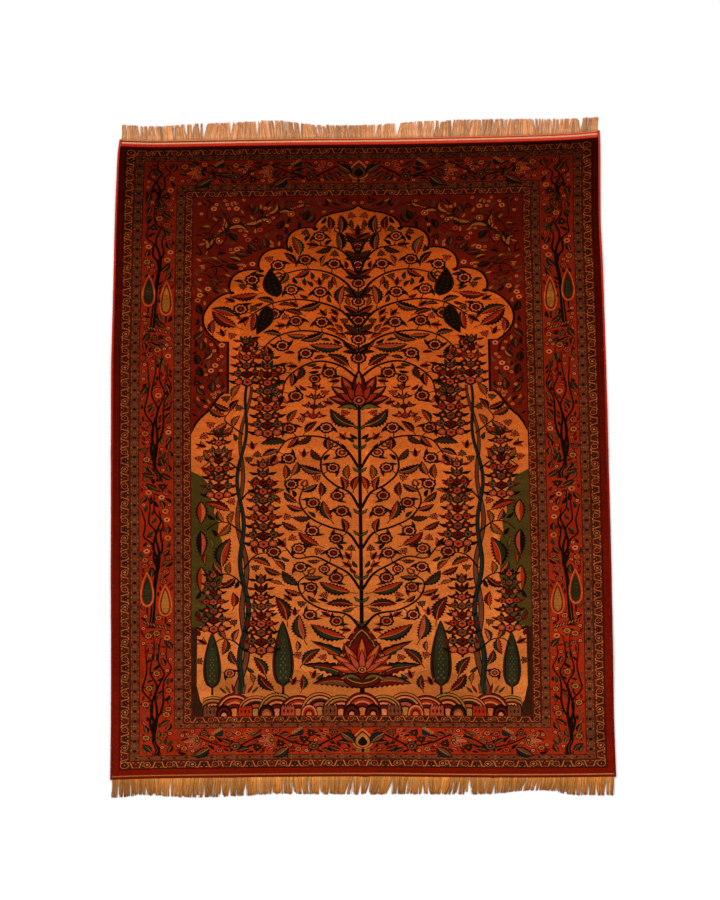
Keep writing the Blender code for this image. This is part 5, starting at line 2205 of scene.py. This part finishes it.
def pile_material():
    """Knotted wool: knots of uneven dye, faint bands of each dye lot across the
    loom, soft cloudiness, and a painted highlight that lightens the colour beside the folds."""
    n = Nodes("knotted_wool")
    colour = dye_colour(n)
    knot = n.math("MULTIPLY_ADD", n.cells((0.0027, 0.0031)), 0.42, 0.79)
    patch = n.spread(n.noise(n.place((80, 110, 1)), 1.0, 2.0, 0.6), 0.80, 1.20)
    lots = n.spread(n.noise(n.place((0.8, 24.0, 1.0)), 1.0, 3.0, 0.6), 0.84, 1.15)
    cloud = n.spread(n.noise(n.place((1.0, 1.0, 1.0)), 3.4, 5.0, 0.66), 0.79, 1.17)
    factor = n.math("MULTIPLY", n.math("MULTIPLY", knot, patch), n.math("MULTIPLY", lots, cloud))
    colour = n.scaled(colour, factor)
    # painted highlight: the colour is lightened beside the folds, in patches
    crease_highlight_in = n.add("ShaderNodeAttribute", attribute_name="painted_crease_highlight", attribute_type="GEOMETRY").outputs["Fac"]
    highlight_patches = n.spread(n.noise(n.place((46, 46, 1)), 1.0, 3.0, 0.6), 0.25, 1.25)
    fac = n.math("MULTIPLY", n.math("MULTIPLY", crease_highlight_in, highlight_patches), 0.55, clamp=True)
    lighter = n.scaled(colour, 1.9)
    colour = n.mix(fac, colour, lighter)
    # knot heads in rows, fibres over them
    rows = n.place((1.0, 1.0, 1.0))
    sep = n.add("ShaderNodeSeparateXYZ")
    n.link(rows, sep.inputs[0])
    across = n.math("SINE", n.math("MULTIPLY", sep.outputs["X"], 2 * math.pi / 0.0054))
    along_ = n.math("SINE", n.math("MULTIPLY", sep.outputs["Y"], 2 * math.pi / 0.0062))
    heads = n.math("MULTIPLY_ADD", n.math("MULTIPLY", across, along_), 0.22, 0.5)
    fibre = n.noise(n.place((1.0, 1.0, 1.0)), 620.0, 3.0, 0.65)
    tuft = n.noise(n.place((1.0, 0.55, 1.0)), 170.0, 2.0, 0.5)
    height = n.math("ADD", n.math("MULTIPLY_ADD", fibre, 0.5, heads), n.math("MULTIPLY", tuft, 0.9))
    rough = n.spread(n.noise(n.place((1, 1, 1)), 40.0, 2.0), 0.86, 1.0)
    return n.finish(colour, rough, height, 0.45, 0.0011, sheen=0.02, sheen_tint=(0.9, 0.42, 0.22), sheen_rough=0.35, specular=0.0)


def weave_material():
    """Flat-woven end: weft ribs over the warps."""
    n = Nodes("woven_end")
    colour = dye_colour(n)
    rib = n.math("MULTIPLY_ADD", n.cells((0.0022, 0.0011)), 0.36, 0.82)
    cloud = n.spread(n.noise(n.place((24, 60, 1)), 1.0, 3.0, 0.6), 0.86, 1.12)
    colour = n.scaled(colour, n.math("MULTIPLY", rib, cloud))
    where = n.add("ShaderNodeSeparateXYZ")
    n.link(n.place((1, 1, 1)), where.inputs[0])
    warp_ = n.math("SINE", n.math("MULTIPLY", where.outputs["X"], 2 * math.pi / 0.0044))
    weft = n.math("SINE", n.math("MULTIPLY", where.outputs["Y"], 2 * math.pi / 0.0022))
    fibre = n.noise(n.place((1, 1, 1)), 900.0, 2.0)
    height = n.math("MULTIPLY_ADD", n.math("MULTIPLY", warp_, weft), 0.45, fibre)
    return n.finish(colour, n.spread(fibre, 0.82, 0.98), height, 0.5, 0.0006, sheen=0.03, sheen_tint=(1.0, 0.5, 0.3), specular=0.0)


def thread_material(name, stripe, strength):
    """Twisted yarn: the plies show as slanting ridges."""
    n = Nodes(name)
    colour = dye_colour(n)
    grain = n.noise(n.place((1.0, 1.0, 1.0)), stripe, 3.0, 0.6)
    colour = n.scaled(colour, n.spread(grain, 0.82, 1.14))
    ply = n.add("ShaderNodeTexWave", wave_type="BANDS", bands_direction="DIAGONAL")
    ply.inputs["Scale"].default_value = stripe * 0.55
    ply.inputs["Distortion"].default_value = 1.6
    n.link(n.place((1.0, 1.0, 1.0)), ply.inputs["Vector"])
    height = n.math("MULTIPLY_ADD", grain, 0.6, ply.outputs["Fac"])
    return n.finish(colour, n.spread(grain, 0.78, 0.96), height, strength, 0.0005, sheen=0.04, sheen_tint=(1.0, 0.75, 0.5), specular=0.04)


# ------------------------------------------------------------------ the room
def make_room():
    scene = bpy.context.scene
    scene.view_settings.view_transform = "Standard"
    scene.view_settings.look = "None"
    scene.view_settings.exposure = 0.0
    scene.view_settings.gamma = 1.0

    world = bpy.data.worlds.new("soft_room")
    scene.world = world
    world.use_nodes = True
    back = world.node_tree.nodes["Background"]
    back.inputs["Color"].default_value = (1.0, 1.0, 1.0, 1.0)
    back.inputs["Strength"].default_value = 0.74

    size = 14.0
    floor_mesh = bpy.data.meshes.new("floor")
    floor_mesh.from_pydata([(-size, -size, -0.0005), (size, -size, -0.0005), (size, size, -0.0005), (-size, size, -0.0005)], [], [(0, 1, 2, 3)])
    floor = bpy.data.objects.new("floor", floor_mesh)
    scene.collection.objects.link(floor)
    n = Nodes("pale_floor")
    tone = n.spread(n.noise(n.place((1, 1, 1)), 1.5, 2.0), 0.965, 0.98)
    mixc = n.add("ShaderNodeCombineColor")
    for k in range(3):
        n.link(tone, mixc.inputs[k])
    n.finish(mixc.outputs[0], 0.9, n.noise(n.place((1, 1, 1)), 60.0), 0.02, 0.001)
    floor_mesh.materials.append(n.mat)

    def sun(name, heading, height, strength, angle):
        light = bpy.data.lights.new(name, "SUN")
        light.energy = strength
        light.angle = math.radians(angle)
        o = bpy.data.objects.new(name, light)
        scene.collection.objects.link(o)
        a, e = math.radians(heading), math.radians(height)
        way = Vector((-math.cos(a) * math.cos(e), -math.sin(a) * math.cos(e), -math.sin(e)))
        o.rotation_euler = way.to_track_quat("-Z", "Y").to_euler()
        return o

    sun("key_light", 128.0, 34.0, 1.35, 24.0)
    sun("fill_light", -42.0, 52.0, 0.35, 60.0)

    cam_data = bpy.data.cameras.new("photo_camera")
    cam = bpy.data.objects.new("photo_camera", cam_data)
    scene.collection.objects.link(cam)
    cam_data.lens = 50.0
    cam_data.sensor_width = 36.0
    cam_data.sensor_fit = "AUTO"
    cam_data.clip_end = 60.0
    cam.location = (0.0005, -0.5706, 6.0013)
    cam.rotation_euler = (math.radians(5.379), 0.0, 0.0)
    scene.camera = cam


def stamp(text):
    print(f"[{time.time() - START:6.1f} s] {text}")


def give(obj, material):
    obj.data.materials.clear()
    obj.data.materials.append(material)
    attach(obj, "root")


make_room()
wool = pile_material()
weave = weave_material()
cotton = thread_material("cotton_thread", 900.0, 0.35)
fringe_yarn = thread_material("fringe_yarn", 700.0, 0.35)
cord_yarn = thread_material("cord_yarn", 800.0, 0.4)

pile = make_pile()
for obj, area, size in pile:
    give(obj, wool)
    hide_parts("rug")

for end in ("near", "far"):
    strip = make_weave(end)
    give(strip, weave)
    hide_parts("rug")
    line = make_twining(end)
    give(line, cotton)
    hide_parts("rug")
    strands = make_fringe(end)
    give(strands, fringe_yarn)
    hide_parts(f"fringe_{end}")
for side in ("left", "right"):
    cord = make_side_cord(side)
    give(cord, cord_yarn)
    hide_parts(f"side_cord_{side}")
stamp("edges made")

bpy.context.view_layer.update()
stamp("done")
